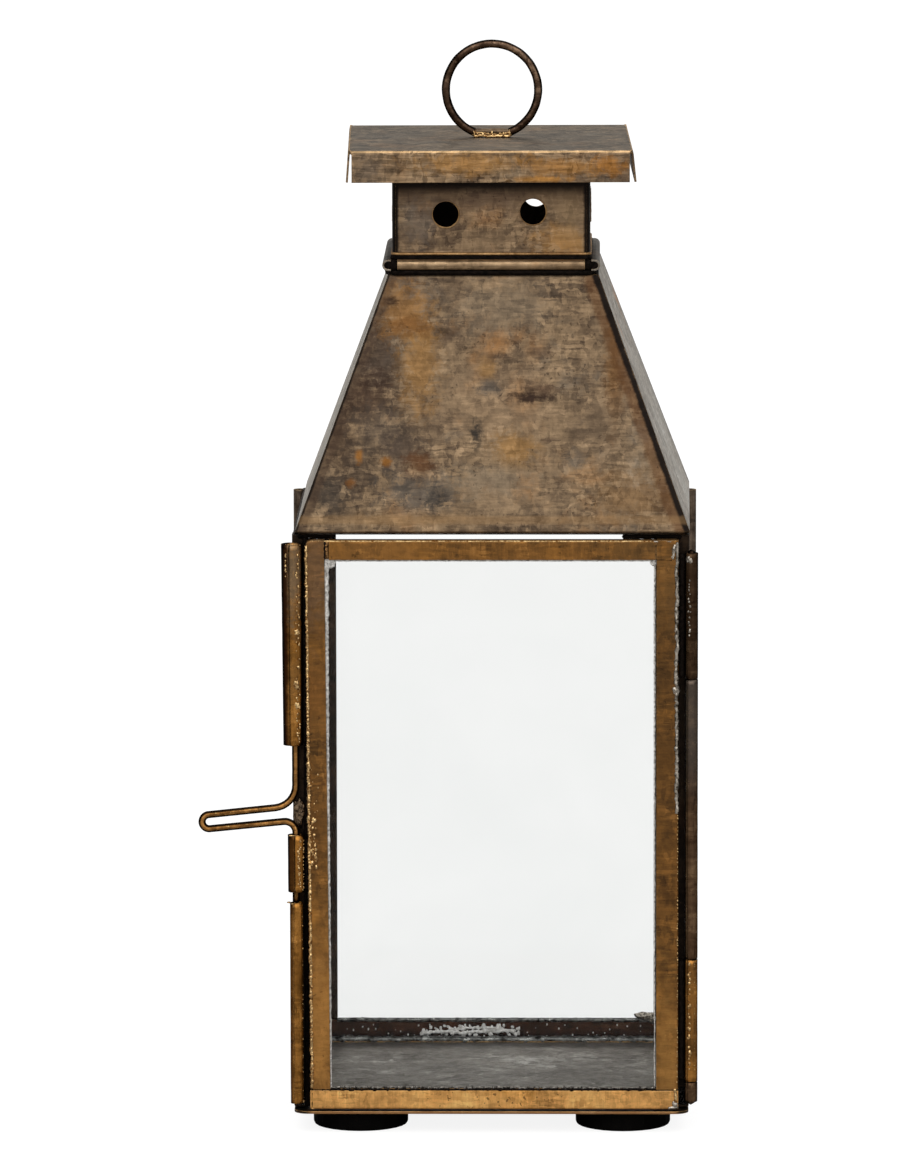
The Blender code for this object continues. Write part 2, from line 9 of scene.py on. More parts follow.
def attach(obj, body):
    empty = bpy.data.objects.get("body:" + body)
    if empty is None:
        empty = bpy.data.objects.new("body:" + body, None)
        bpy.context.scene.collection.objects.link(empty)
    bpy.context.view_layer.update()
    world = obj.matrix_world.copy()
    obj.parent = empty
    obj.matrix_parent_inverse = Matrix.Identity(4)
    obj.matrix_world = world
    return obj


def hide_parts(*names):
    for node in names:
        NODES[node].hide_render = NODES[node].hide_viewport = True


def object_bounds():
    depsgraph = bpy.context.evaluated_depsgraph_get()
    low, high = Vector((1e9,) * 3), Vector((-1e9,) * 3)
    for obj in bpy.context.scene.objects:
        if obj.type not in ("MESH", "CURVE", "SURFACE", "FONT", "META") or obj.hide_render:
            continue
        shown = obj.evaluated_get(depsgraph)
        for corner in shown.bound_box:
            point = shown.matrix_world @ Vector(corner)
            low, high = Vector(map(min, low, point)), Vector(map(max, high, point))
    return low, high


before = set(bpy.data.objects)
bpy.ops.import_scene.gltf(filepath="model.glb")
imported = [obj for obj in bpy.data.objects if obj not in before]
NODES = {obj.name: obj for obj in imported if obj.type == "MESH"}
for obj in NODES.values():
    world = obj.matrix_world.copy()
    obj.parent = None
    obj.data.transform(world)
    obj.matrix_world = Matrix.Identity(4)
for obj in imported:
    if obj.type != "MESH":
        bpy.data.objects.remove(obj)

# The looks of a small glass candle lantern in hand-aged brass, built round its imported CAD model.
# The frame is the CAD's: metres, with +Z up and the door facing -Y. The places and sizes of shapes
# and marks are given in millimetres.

MM = 0.001
CAD_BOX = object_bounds()
noise.seed_set(7)  # the clock seeds the vector noise otherwise

# Camera: a long lens from a little above the lantern
CAMERA_PLACE = (0.0300, -2.6448, 0.5090)
CAMERA_YAW = 0.911
CAMERA_PITCH = -7.956
CAMERA_ROLL = -0.123
CAMERA_LENS = 290.2  # on the 36 mm long side of the frame

# Studio: soft boxes given by azimuth from the front towards +X, elevation, radius and strength
AMBIENT = 0.10
SOFTBOXES = (
    (0, 86, 50, 1.05),
    (6, 16, 44, 1.00),
    (-26, 40, 22, 0.60),
    (150, 38, 26, 0.50),
    (-150, 38, 26, 0.40),
)
FLOOR_SIZE = 600.0

# Tones, as sRGB values: from the deepest patina to the brightest rubbed metal
SHEET_TONES = ((50, 38, 29), (87, 71, 56), (119, 99, 76), (146, 123, 96))
SHEET_WARM = (148, 103, 56)
SHEET_COOL = (102, 97, 89)
GOLD_TONES = ((52, 35, 18), (86, 60, 31), (118, 81, 39), (160, 114, 60))
GOLD_WARM = (158, 108, 47)
GOLD = {"tones": GOLD_TONES, "warm": GOLD_WARM, "brush": 0.16, "strokes": 0.7}
DARK_TONES = ((14, 9, 6), (34, 24, 16), (58, 44, 31), (92, 74, 54))
PATCH_STRENGTH = 0.88
CLOUD_SIZE = 26.0  # how wide the broad light and dark clouds of the patina are, in millimetres
BRASS_METALLIC = 0.85
EDGE_RADIUS = 0.32  # of the rounded edges, which are rubbed and carry a painted highlight, in millimetres
OUTLINE_TINT = (0.12, 0.08, 0.05, 1.0)  # what a bar with painted side shade mirrors where it turns away
LIGHT_GAIN = 1.12  # base colours are brightened by this, to allow for the studio's mean light

# How finely brush lines vary along X, Y and Z, per millimetre
ACROSS = (0.10, 1.7, 1.7)
DEEP = (1.7, 0.10, 1.7)
UPRIGHT = (1.7, 1.7, 0.10)
EVEN = (0.4, 0.4, 0.4)
SHEET = {"tones": SHEET_TONES, "warm": SHEET_WARM, "cool": SHEET_COOL, "grain": ACROSS, "strokes": 0.9}

# Places in millimetres
BOLT_X, BOLT_Y = -54.0, -54.6
PIN_X, PIN_Y = 55.4, -54.2
RING_Z, RING_RADIUS = 280.05, 12.9
CHIMNEY_HALF, CHIMNEY_CORNER = 27.5, 1.6
ROOF_FOOT, ROOF_TOP = 162.65, 231.05  # heights of the roof's lower and upper edges
ROOF_FORM = (ROOF_FOOT, 53.9, ROOF_TOP, 28.6)  # with the roof's half width at each


def rgb(colour, gain=1.0):
    """A linear colour from 0-255 sRGB values."""
    linear = [c / 255 / 12.92 if c < 11 else ((c / 255 + 0.055) / 1.055) ** 2.4 for c in colour]
    return (*[min(value * gain, 1.0) for value in linear], 1.0)


class Nodes:
    """A shader tree, and short names for the nodes that it's made of."""

    def __init__(self, tree):
        self.tree = tree

    def add(self, kind, inputs=(), **settings):
        made = self.tree.nodes.new("ShaderNode" + kind)
        for key, value in settings.items():
            setattr(made, key, value)
        for socket, value in dict(inputs).items():
            if isinstance(value, bpy.types.NodeSocket):
                self.tree.links.new(value, made.inputs[socket])
            else:
                made.inputs[socket].default_value = value
        return made

    def vector(self, operation, *values):
        return self.add("VectorMath", dict(enumerate(values)), operation=operation).outputs[0]

    def dot(self, first, second):
        made = self.add("VectorMath", {0: first, 1: second}, operation="DOT_PRODUCT")
        return made.outputs["Value"]

    def place(self, stretch=(1, 1, 1), offset=(0, 0, 0)):
        """The place on the lantern in millimetres, stretched and shifted."""
        where = self.add("TexCoord").outputs["Object"]
        return self.vector("MULTIPLY_ADD", where, [value / MM for value in stretch], offset)

    def noise(self, vector, scale, detail=4.0, rough=0.55, warp=0.0):
        inputs = {"Vector": vector, "Scale": scale, "Detail": detail, "Roughness": rough}
        inputs["Distortion"] = warp
        return self.add("TexNoise", inputs).outputs[0]

    def warped(self, vector, scale, amount):
        """The vector, shifted about by up to half the amount."""
        drift = self.add("TexNoise", {"Vector": vector, "Scale": scale, "Detail": 3.0})
        return self.vector("MULTIPLY_ADD", drift.outputs["Color"], (amount,) * 3, vector)

    def grey(self, value):
        return self.add("CombineColor", {0: value, 1: value, 2: value}).outputs[0]

    def span(self, value, low, high, to_low=0.0, to_high=1.0, smooth=False):
        inputs = {0: value, 1: low, 2: high, 3: to_low, 4: to_high}
        kind = "SMOOTHSTEP" if smooth else "LINEAR"
        return self.add("MapRange", inputs, interpolation_type=kind).outputs[0]

    def calc(self, operation, first, second=0.0):
        return self.add("Math", {0: first, 1: second}, operation=operation).outputs[0]

    def times(self, first, second):
        return self.calc("MULTIPLY", first, second)

    def plus(self, first, second):
        return self.calc("ADD", first, second)

    def minus(self, first, second):
        return self.calc("SUBTRACT", first, second)

    def size(self, value):
        return self.calc("ABSOLUTE", value)

    def mix(self, factor, first, second, blend="MIX"):
        inputs = {0: factor, 6: first, 7: second}
        return self.add("Mix", inputs, data_type="RGBA", blend_type=blend).outputs[2]

    def ramp(self, factor, stops):
        made = self.add("ValToRGB", {0: factor})
        band = made.color_ramp
        while len(band.elements) < len(stops):
            band.elements.new(0.5)
        for element, (position, colour) in zip(band.elements, stops):
            element.position = position
            element.color = colour
        return made.outputs[0]

    def bump(self, strength, distance, height, normal=None):
        """A normal bumped by a height. The distance is in millimetres."""
        inputs = {"Strength": strength, "Distance": distance * MM, "Height": height}
        if normal is not None:
            inputs["Normal"] = normal
        return self.add("Bump", inputs).outputs[0]


class Finish(Nodes):
    """A Principled material whose colour, roughness and bump come from nodes."""

    def __init__(self, name, **sockets):
        self.material = bpy.data.materials.new(name)
        self.material.use_nodes = True
        super().__init__(self.material.node_tree)
        self.shader = self.tree.nodes["Principled BSDF"]
        for socket, value in sockets.items():
            self.shader.inputs[socket.replace("_", " ")].default_value = value

    def feed(self, **sockets):
        for socket, value in sockets.items():
            self.tree.links.new(value, self.shader.inputs[socket.replace("_", " ")])

    def show(self, share, first, second):
        """Shows a mix of two shaders in place of the Principled one."""
        mixed = self.add("MixShader", {0: share, 1: first.outputs[0], 2: second.outputs[0]})
        self.tree.links.new(mixed.outputs[0], self.tree.nodes["Material Output"].inputs["Surface"])


def patina(
    name, tones, grain, warm=None, warmth=0.35, cool=None, coolness=0.3, patches=(), bands=(),
    seams=(), rims=(), facings=(), inside=None, gain=1.0, edge_wear_and_glint=0.55, wear_tone=(196, 160, 112),
    pits=0.5, rough=(0.36, 0.58), relief=1.0, brush=0.3, scratch=0.5, strokes=0.6,
    contrast=1.0, grime_and_shade=0.93, outline=None, seed=0.0,
):
    """Hand-aged brass. Grain is how finely the brush lines vary along X, Y and Z, per millimetre.

    A patch is X, Z, half width and half height in millimetres, a colour and a strength.
    A band is an axis, the places where it starts and is full, a colour and a strength.
    A seam is X and Z at its two ends, its half width, a colour and a strength.
    A rim runs down the corners of a square form: two heights with their half widths, the rim's
    width, a colour and a strength. A facing tints the faces that point along an axis, between two
    shares of that direction, and so paints shade or light by the way the faces point. Inside is the half
    width within which a square form is painted near black, for smoke stain and the shade inside it.
    Side shade paints shade on the sides of a round bar that turn away from Y, and leaves its front
    and back lighter: the share of the turn away from Y where that starts, where it is full, and its
    strength.
    """
    gain *= LIGHT_GAIN
    finish = Finish(name, Metallic=BRASS_METALLIC)
    if outline:
        finish.shader.inputs["Specular Tint"].default_value = OUTLINE_TINT
    spot = finish.place(offset=(seed * 37.1, seed * 11.3, seed * 23.7))
    clouds = finish.noise(spot, 1 / CLOUD_SIZE, 3.0, 0.55, 0.3)
    mottle = finish.noise(spot, 0.19, 9.0, 0.74, 0.2)
    lines = finish.noise(finish.place(grain, (seed, 0, seed)), 1.0, 3.0, 0.62)
    dabs = []
    for stretch in ((0.24, 0.24, 1.15), (0.85, 0.85, 0.4)):
        where = finish.warped(finish.place(stretch, (seed * 3.7, seed, seed * 5.1)), 1.1, 1.6)
        cells = finish.add("TexVoronoi", {"Vector": where, "Scale": 1.0, "Randomness": 1.0})
        dabs.append(finish.add("SeparateColor", {0: cells.outputs["Color"]}).outputs[0])
    dab = finish.minus(finish.plus(*dabs), 1.0)
    clumps = finish.span(finish.noise(spot, 0.09, 3.0, 0.6), 0.42, 0.62, 0.2, 1.0)
    body = finish.plus(finish.times(clouds, 0.46), finish.times(mottle, 0.42))
    body = finish.plus(body, finish.times(lines, 0.12))
    dabbed = finish.times(finish.times(dab, clumps), 0.17 * strokes)
    half = 0.23 / contrast
    value = finish.span(finish.plus(body, dabbed), 0.5 - half, 0.5 + half)
    stops = [(place, rgb(tone, gain)) for place, tone in zip((0.02, 0.3, 0.62, 0.98), tones)]
    colour = finish.ramp(value, stops)

    def lay(share, tone, gain=gain):
        nonlocal colour
        colour = finish.mix(share, colour, rgb(tone, gain))

    if warm:
        veil = finish.noise(spot, 0.042, 6.0, 0.62, 0.3)
        lay(finish.span(veil, 0.60 - 0.3 * warmth, 0.78 - 0.1 * warmth, 0.0, 0.7, True), warm)
    if cool:
        veil = finish.noise(finish.place(offset=(seed * 5.0 + 300, 40, 90)), 0.05, 6.0, 0.65, 0.3)
        lay(finish.span(veil, 0.66 - 0.3 * coolness, 0.78, 0.0, 0.7, True), cool)
    if patches:
        ragged = finish.minus(finish.noise(finish.place(), 0.3, 6.0, 0.72, 0.6), 0.5)
        ragged = finish.times(ragged, 2.6)
        ragged = finish.plus(ragged, finish.times(dab, 0.22))
        for x, z, wide, high, tone, strength in patches:
            stretch = (1 / wide, 0, 1 / high)
            local = finish.place(stretch, (-x / wide, 0, -z / high))
            away = finish.add("VectorMath", {0: local}, operation="LENGTH").outputs["Value"]
            away = finish.plus(away, ragged)
            lay(finish.span(away, 0.2, 1.3, strength * PATCH_STRENGTH, 0.0, True), tone)
    dabbed = finish.grey(finish.span(dab, -0.8, 0.8, 1 - 0.22 * strokes, 1 + 0.22 * strokes))
    colour = finish.mix(1.0, colour, dabbed, "MULTIPLY")
    facing = finish.add("SeparateXYZ", {0: finish.add("TexCoord").outputs["Normal"]})
    for axis, low, high, tone, strength in facings:
        toward = finish.size(facing.outputs[axis])
        mask = finish.span(toward, low - 0.08, low + 0.08, 0.0, strength, True)
        mask = finish.times(mask, finish.span(toward, high + 0.08, high - 0.08))
        mask = finish.times(mask, finish.span(mottle, 0.3, 0.5, 0.7, 1.0))
        colour = finish.mix(mask, colour, finish.mix(1.0, rgb(tone, gain), dabbed, "MULTIPLY"))
    streak = finish.grey(finish.span(lines, 0.3, 0.7, 0.72, 1.26))
    colour = finish.mix(brush, colour, streak, "MULTIPLY")
    hair = finish.noise(finish.place([along * 2.6 for along in grain], (0, seed, 7)), 1.0, 2.0, 0.5)
    lay(finish.times(finish.span(hair, 0.64, 0.74, 0.0, scratch), clumps), tones[3], gain * 1.15)
    lay(finish.times(finish.span(hair, 0.37, 0.27, 0.0, scratch), clumps), tones[0])
    stray = finish.times(finish.minus(mottle, 0.5), 2.4)
    parts = finish.add("SeparateXYZ", {0: finish.place()})
    for axis, start, full, tone, strength in bands:
        along = finish.plus(parts.outputs[axis], stray)
        lay(finish.span(along, start, full, 0.0, strength, True), tone)
    for x_high, z_high, x_low, z_low, reach, tone, strength in seams:
        across = Vector((z_high - z_low, 0, x_low - x_high)).normalized()
        away = finish.minus(finish.dot(finish.place(), across), across.dot(Vector((x_low, 0, z_low))))
        uneven = finish.times(stray, 0.6 * reach)
        away = finish.plus(finish.size(away), uneven)
        lay(finish.span(away, reach * 0.45, reach * 1.2, strength, 0.0, True), tone)
    for low, low_half, high, high_half, width, tone, strength in rims:
        across = [finish.size(parts.outputs[axis]) for axis in (0, 1)]
        half = finish.span(parts.outputs[2], low, high, low_half, high_half)
        inward = finish.minus(half, finish.calc("MINIMUM", *across))
        inward = finish.plus(inward, finish.times(stray, 0.4))
        lay(finish.span(inward, width * 0.75, width * 1.15, strength, 0.0, True), tone)

    ragged = finish.warped(spot, 0.8, 2.2)
    specks = finish.add("TexVoronoi", {"Vector": ragged, "Scale": 0.62, "Randomness": 1.0})
    crowd = finish.span(finish.noise(spot, 0.08, 3.0), 0.45, 0.7, 0.0, 0.26)
    dots = finish.calc("LESS_THAN", specks.outputs["Distance"], crowd)
    dots = finish.times(dots, pits)
    lay(dots, tones[0], gain * 0.8)

    # Rounded edges lightened towards the edge tone: rubbed metal, and a painted highlight along the edges.
    rounded = finish.add("Bevel", {"Radius": EDGE_RADIUS * MM}, samples=4).outputs[0]
    flat = finish.add("NewGeometry").outputs["Normal"]
    edge = finish.span(finish.dot(rounded, flat), 0.985, 0.90, 0.0, edge_wear_and_glint, True)
    lay(finish.times(edge, finish.span(mottle, 0.38, 0.6, 0.15, 1.0)), wear_tone)
    # Painted shade on the sides of a round bar that turn away from Y; its front and back stay lighter.
    if outline:
        turned = finish.minus(1.0, finish.size(facing.outputs[1]))
        lay(finish.span(turned, outline[0], outline[1], 0.0, outline[2], True), (9, 5, 3), 1.0)
    # Darkened where other surfaces are close: painted shade in crevices and gaps, with some dirt.
    open_sky = finish.add("AmbientOcclusion", {"Distance": 3.0 * MM}, samples=6).outputs["AO"]
    lay(finish.span(open_sky, 0.72, 0.28, 0.0, grime_and_shade, True), (10, 5, 3), 1.0)
    # Painted near black within the inside half width: smoke stain, and the shade inside the form.
    if inside:
        far = [finish.size(parts.outputs[axis]) for axis in (0, 1)]
        hidden = finish.calc("LESS_THAN", finish.calc("MAXIMUM", *far), inside)
        lay(finish.times(hidden, 0.97), (5, 3, 2), 1.0)
    waves = finish.bump(0.5 * relief, 0.5, finish.noise(spot, 0.075, 2.0, 0.5), rounded)
    fine = finish.plus(finish.times(lines, 0.5), finish.times(mottle, 0.6))
    fine = finish.minus(finish.plus(fine, finish.times(dab, 0.12 * strokes)), dots)
    roughness = finish.span(mottle, 0.35, 0.65, rough[1], rough[0])
    normal = finish.bump(0.55 * relief, 0.09, fine, waves)
    finish.feed(Base_Color=colour, Roughness=roughness, Normal=normal)
    return finish.material


def solder_finish(name, dark, light, rough=(0.22, 0.45), metal=0.95, grain=1.1, shine=0.25, seed=0.0):
    """Braze, solder, and a near-black finish that also stands in for shade: small bright facets between
    dull hollows.
    """
    finish = Finish(name, Metallic=metal)
    finish.shader.inputs["Specular IOR Level"].default_value = shine
    spot = finish.place(offset=(seed * 13.0, seed * 7.0, seed * 3.0))
    lumps = finish.noise(spot, grain, 5.0, 0.6, 0.4)
    colour = finish.ramp(lumps, [(0.36, rgb(dark, LIGHT_GAIN)), (0.66, rgb(light, LIGHT_GAIN))])
    roughness = finish.span(lumps, 0.35, 0.65, rough[1], rough[0])
    finish.feed(Base_Color=colour, Roughness=roughness, Normal=finish.bump(0.7, 0.12, lumps))
    return finish.material


def glass_finish():
    """Clear float glass with a faint uneven film. Lamps shine through it."""
    finish = Finish("clear_pane", Metallic=0.0, IOR=1.17, Transmission_Weight=1.0)
    spot = finish.place()
    film = finish.noise(spot, 0.02, 4.0, 0.6, 1.0)
    tints = [(0.3, (0.905, 0.91, 0.908, 1)), (0.7, (0.885, 0.893, 0.89, 1))]
    haze = finish.span(finish.noise(spot, 0.6, 6.0, 0.7), 0.45, 0.8, 0.0, 0.03)
    finish.feed(Base_Color=finish.ramp(film, tints), Roughness=haze)
    clear = finish.add("BsdfTransparent", {"Color": (0.93, 0.94, 0.94, 1)})
    finish.show(finish.add("LightPath").outputs["Is Shadow Ray"], finish.shader, clear)
    return finish.material


def rubber_finish():
    finish = Finish("black_rubber", Metallic=0.0)
    finish.shader.inputs["Specular IOR Level"].default_value = 0.05
    spot = finish.place()
    dust = finish.noise(spot, 0.35, 6.0, 0.7)
    colour = finish.ramp(dust, [(0.4, rgb((2, 1, 1))), (0.85, rgb((12, 11, 10)))])
    normal = finish.bump(0.4, 0.05, finish.noise(spot, 3.0, 3.0, 0.6))
    finish.feed(Base_Color=colour, Roughness=finish.span(dust, 0.3, 0.7, 0.6, 0.85), Normal=normal)
    return finish.material


def place_piece(name, form, finish, body, slot="bright_solder", *nodes):
    """Turns a bmesh into a piece that rides on a body, and stands for any CAD nodes named."""
    bmesh.ops.recalc_face_normals(form, faces=form.faces)
    mesh = bpy.data.meshes.new(name)
    form.to_mesh(mesh)
    form.free()
    mesh.shade_smooth()
    mesh.materials.append(finish)
    made = bpy.data.objects.new(name, mesh)
    bpy.context.scene.collection.objects.link(made)
    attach(made, body)
    if nodes:
        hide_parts(*nodes)
    return made


def upright(x, y, low, high):
    """The two ends of an upright line."""
    return (x, y, low), (x, y, high)


def line(start, end, step=0.6, stray=0.0, seed=0):
    """Points in millimetres from start to end, which wander by up to stray."""
    start, end = Vector(start), Vector(end)
    count = max(2, round((end - start).length / step))
    points = []
    for number in range(count + 1):
        where = start.lerp(end, number / count)
        drift = noise.noise_vector(where / 2.2 + Vector((seed * 9.7, 3.1, 0)))
        points.append(where + drift * stray)
    return points


def join_rings(form, rings, closed=False):
    for low, high in zip(rings, rings[1:] + rings[:1] if closed else rings[1:]):
        count = len(low)
        for step in range(count):
            after = (step + 1) % count
            form.faces.new((low[step], low[after], high[after], high[step]))


def rod(form, points, radius, sides=12, flat=1.0, lumpy=0.0, pitch=1.0, seed=0):
    """A bar with rounded ends along points, in millimetres. Lumpy varies its radius.

    Radius is a length, or a function of the share of the way along. Flat squeezes it along Y.
    """
    points = [Vector(point) for point in points]
    ahead = [(after - before).normalized() for before, after in zip(points, points[1:])]
    mean = [(before + after).normalized() for before, after in zip(ahead, ahead[1:])]
    tangents = [ahead[0], *mean, ahead[-1]]
    side = tangents[0].cross(Vector((0, 1, 0)))
    if side.length < 0.1:
        side = tangents[0].orthogonal()
    rings = []
    for number, (point, tangent) in enumerate(zip(points, tangents)):
        side = (side - tangent * side.dot(tangent)).normalized()
        other = tangent.cross(side)
        size = radius(number / (len(points) - 1)) if callable(radius) else radius
        ring = []
        for step in range(sides):
            turn = math.tau * step / sides
            out = side * math.cos(turn) + other * math.sin(turn)
            out.y *= flat
            ripple = noise.noise((point + out * size) / pitch + Vector((seed * 17.3, 0, 0)))
            ring.append(form.verts.new((point + out * size * (1 + lumpy * ripple)) * MM))
        rings.append(ring)
    join_rings(form, rings)
    ends = ((rings[0], points[0], -tangents[0]), (rings[-1], points[-1], tangents[-1]))
    for ring, point, outward in ends:
        reach = (ring[0].co / MM - point).length * 0.6
        tip = form.verts.new((point + outward * reach) * MM)
        for step in range(sides):
            form.faces.new((ring[step], ring[(step + 1) % sides], tip))


def drop(form, where, size, lumpy=0.25, detail=2):
    """A lump at a place, with half sizes along X, Y and Z, all in millimetres."""
    where = Vector(where)
    made = bmesh.ops.create_icosphere(form, subdivisions=detail, radius=1.0)
    for vert in made["verts"]:
        ripple = 1 + lumpy * noise.noise(vert.co * 1.6 + where * 3.1)
        shaped = Vector([along * half for along, half in zip(vert.co, size)])
        vert.co = (where + shaped * ripple) * MM


def drops(form, start, end, sizes, pitch, spread, seed):
    """Small lumps from start to end, spread about the line, all in millimetres."""
    dice = random.Random(seed)
    start, end = Vector(start), Vector(end)
    count = max(1, round((end - start).length / pitch))
    for number in range(count):
        where = start.lerp(end, (number + dice.random()) / count)
        where += Vector([dice.uniform(-wide, wide) for wide in spread])
        size = dice.uniform(*sizes)
        drop(form, where, (size, size, size * dice.uniform(0.8, 1.7)), 0.35)


def rolled(form, low, high, radii, sheet, seam, lap, seed):
    """A tube rolled from sheet between two places, in millimetres.

    Its two edges lap at the seam's angle from +X. Its radius goes from the low to the high one.
    """
    low, high = Vector(low), Vector(high)
    levels = max(6, round((high - low).length / 1.4))
    turns = 36
    sections = []
    for level in range(levels + 1):
        share = level / levels
        centre = low.lerp(high, share)
        size = radii[0] + (radii[1] - radii[0]) * share
        outside, inside = [], []
        for step in range(turns + 1):
            angle = math.radians(seam + 4 + 358 * step / turns)
            out = Vector((math.cos(angle), math.sin(angle), 0))
            dent = noise.noise(Vector((out.x, out.y, centre.z / 7 + seed * 5.3)))
            reach = size - lap * step / turns - 0.07 * abs(dent)
            ragged = Vector((0, 0, 0.2 * dent if level in (0, levels) else 0))
            outside.append(centre + out * reach + ragged)
            inside.append(centre + out * (reach - sheet) + ragged)
        sections.append([form.verts.new(point * MM) for point in outside + inside[::-1]])
    join_rings(form, sections)
    for section in (sections[0], sections[-1]):
        last = 2 * turns + 1
        for step in range(turns):
            outer, inner = section[step:step + 2], section[last - step - 1:last - step + 1]
            form.faces.new((*outer, *inner))


def moulding(form, half, corner, profile, steps=6):
    """A closed strip round a square with rounded corners. Its profile is outward and up, in millimetres."""
    sections = []
    for quarter in range(4):
        middle = Vector((1, 1, 0))
        middle.rotate(Matrix.Rotation(math.radians(90 * quarter), 3, "Z"))
        for step in range(steps + 1):
            angle = math.radians(90 * (quarter + step / steps))
            out = Vector((math.cos(angle), math.sin(angle), 0))
            root = middle * (half - corner) + out * corner
            section = [form.verts.new((root + out * far + Vector((0, 0, up))) * MM) for far, up in profile]
            sections.append(section)
    join_rings(form, sections, closed=True)


def arc(middle, radius, start, end, steps):
    """Points on an arc in the XZ plane from start to end, in degrees."""
    points = []
    for step in range(steps + 1):
        angle = math.radians(start + (end - start) * step / steps)
        points.append((middle[0] + radius * math.cos(angle), middle[1] + radius * math.sin(angle)))
    return points


def fillet(corner, before, after, radius, steps=8):
    """The rounded corner between the lines from before to corner and from corner to after."""
    corner, before, after = Vector(corner), Vector(before), Vector(after)
    inward = (before - corner).normalized()
    outward = (after - corner).normalized()
    half_angle = inward.angle(outward) / 2
    centre = corner + (inward + outward).normalized() * radius / math.sin(half_angle)
    reach = radius / math.tan(half_angle)
    start = corner + inward * reach - centre
    end = corner + outward * reach - centre
    sweep = start.angle_signed(end)
    points = []
    for step in range(steps + 1):
        turned = start.copy()
        turned.rotate(Matrix.Rotation(-sweep * step / steps, 2))
        points.append(tuple(centre + turned))
    return points


def studio():
    """A white floor, and a dome whose brightness is a sum of soft boxes."""
    world = bpy.data.worlds.new("studio")
    bpy.context.scene.world = world
    world.use_nodes = True
    sky = Nodes(world.node_tree)
    direction = sky.add("TexCoord").outputs["Generated"]
    total = AMBIENT
    for azimuth, elevation, radius, strength in SOFTBOXES:
        turn, rise = math.radians(azimuth), math.radians(elevation)
        aim = (math.sin(turn) * math.cos(rise), -math.cos(turn) * math.cos(rise), math.sin(rise))
        outer, inner = [math.cos(math.radians(radius * share)) for share in (1.35, 0.65)]
        box = sky.span(sky.dot(direction, aim), outer, inner, 0.0, strength, True)
        total = sky.plus(box, total)
    total = sky.plus(total, sky.add("LightPath").outputs["Is Camera Ray"])
    background = sky.tree.nodes["Background"].inputs
    sky.tree.links.new(total, background["Strength"])
    background["Color"].default_value = (1.0, 0.985, 0.96, 1.0)

    ground = bpy.data.meshes.new("floor")
    half, low = FLOOR_SIZE / 2, CAD_BOX[0].z
    corners = [(-half, -half, low), (half, -half, low), (half, half, low), (-half, half, low)]
    ground.from_pydata(corners, [], [(0, 1, 2, 3)])
    floor = bpy.data.objects.new("floor", ground)
    bpy.context.scene.collection.objects.link(floor)
    paper = Finish("white_paper")
    path = paper.add("LightPath")
    direct = paper.calc("MAXIMUM", path.outputs["Is Camera Ray"], path.outputs["Is Transmission Ray"])
    greys = [(0.3, (0.20, 0.20, 0.20, 1)), (0.7, (0.21, 0.21, 0.21, 1))]
    grain = paper.ramp(paper.noise(paper.place(), 0.01), greys)
    matt = paper.add("BsdfDiffuse", {"Color": grain})
    glow = paper.add("Emission", {"Color": (1, 1, 1, 1), "Strength": 0.88})
    seen = paper.add("AddShader", {0: matt.outputs[0], 1: glow.outputs[0]})
    dim = paper.add("BsdfDiffuse", {"Color": (0.42, 0.41, 0.40, 1)})
    paper.show(direct, dim, seen)
    ground.materials.append(paper.material)


def camera():
    data = bpy.data.cameras.new("camera")
    data.lens = CAMERA_LENS
    data.clip_start, data.clip_end = 0.1, 2000.0
    made = bpy.data.objects.new("camera", data)
    bpy.context.scene.collection.objects.link(made)
    turn = Matrix.Rotation(math.radians(CAMERA_YAW), 4, "Z")
    tilt = Matrix.Rotation(math.radians(90 + CAMERA_PITCH), 4, "X")
    roll = Matrix.Rotation(math.radians(CAMERA_ROLL), 4, "Z")
    made.matrix_world = Matrix.Translation(CAMERA_PLACE) @ turn @ tilt @ roll
    bpy.context.scene.camera = made


def dress(material, *names):
    for name in names:
        NODES[name].material_slots[0].material = material


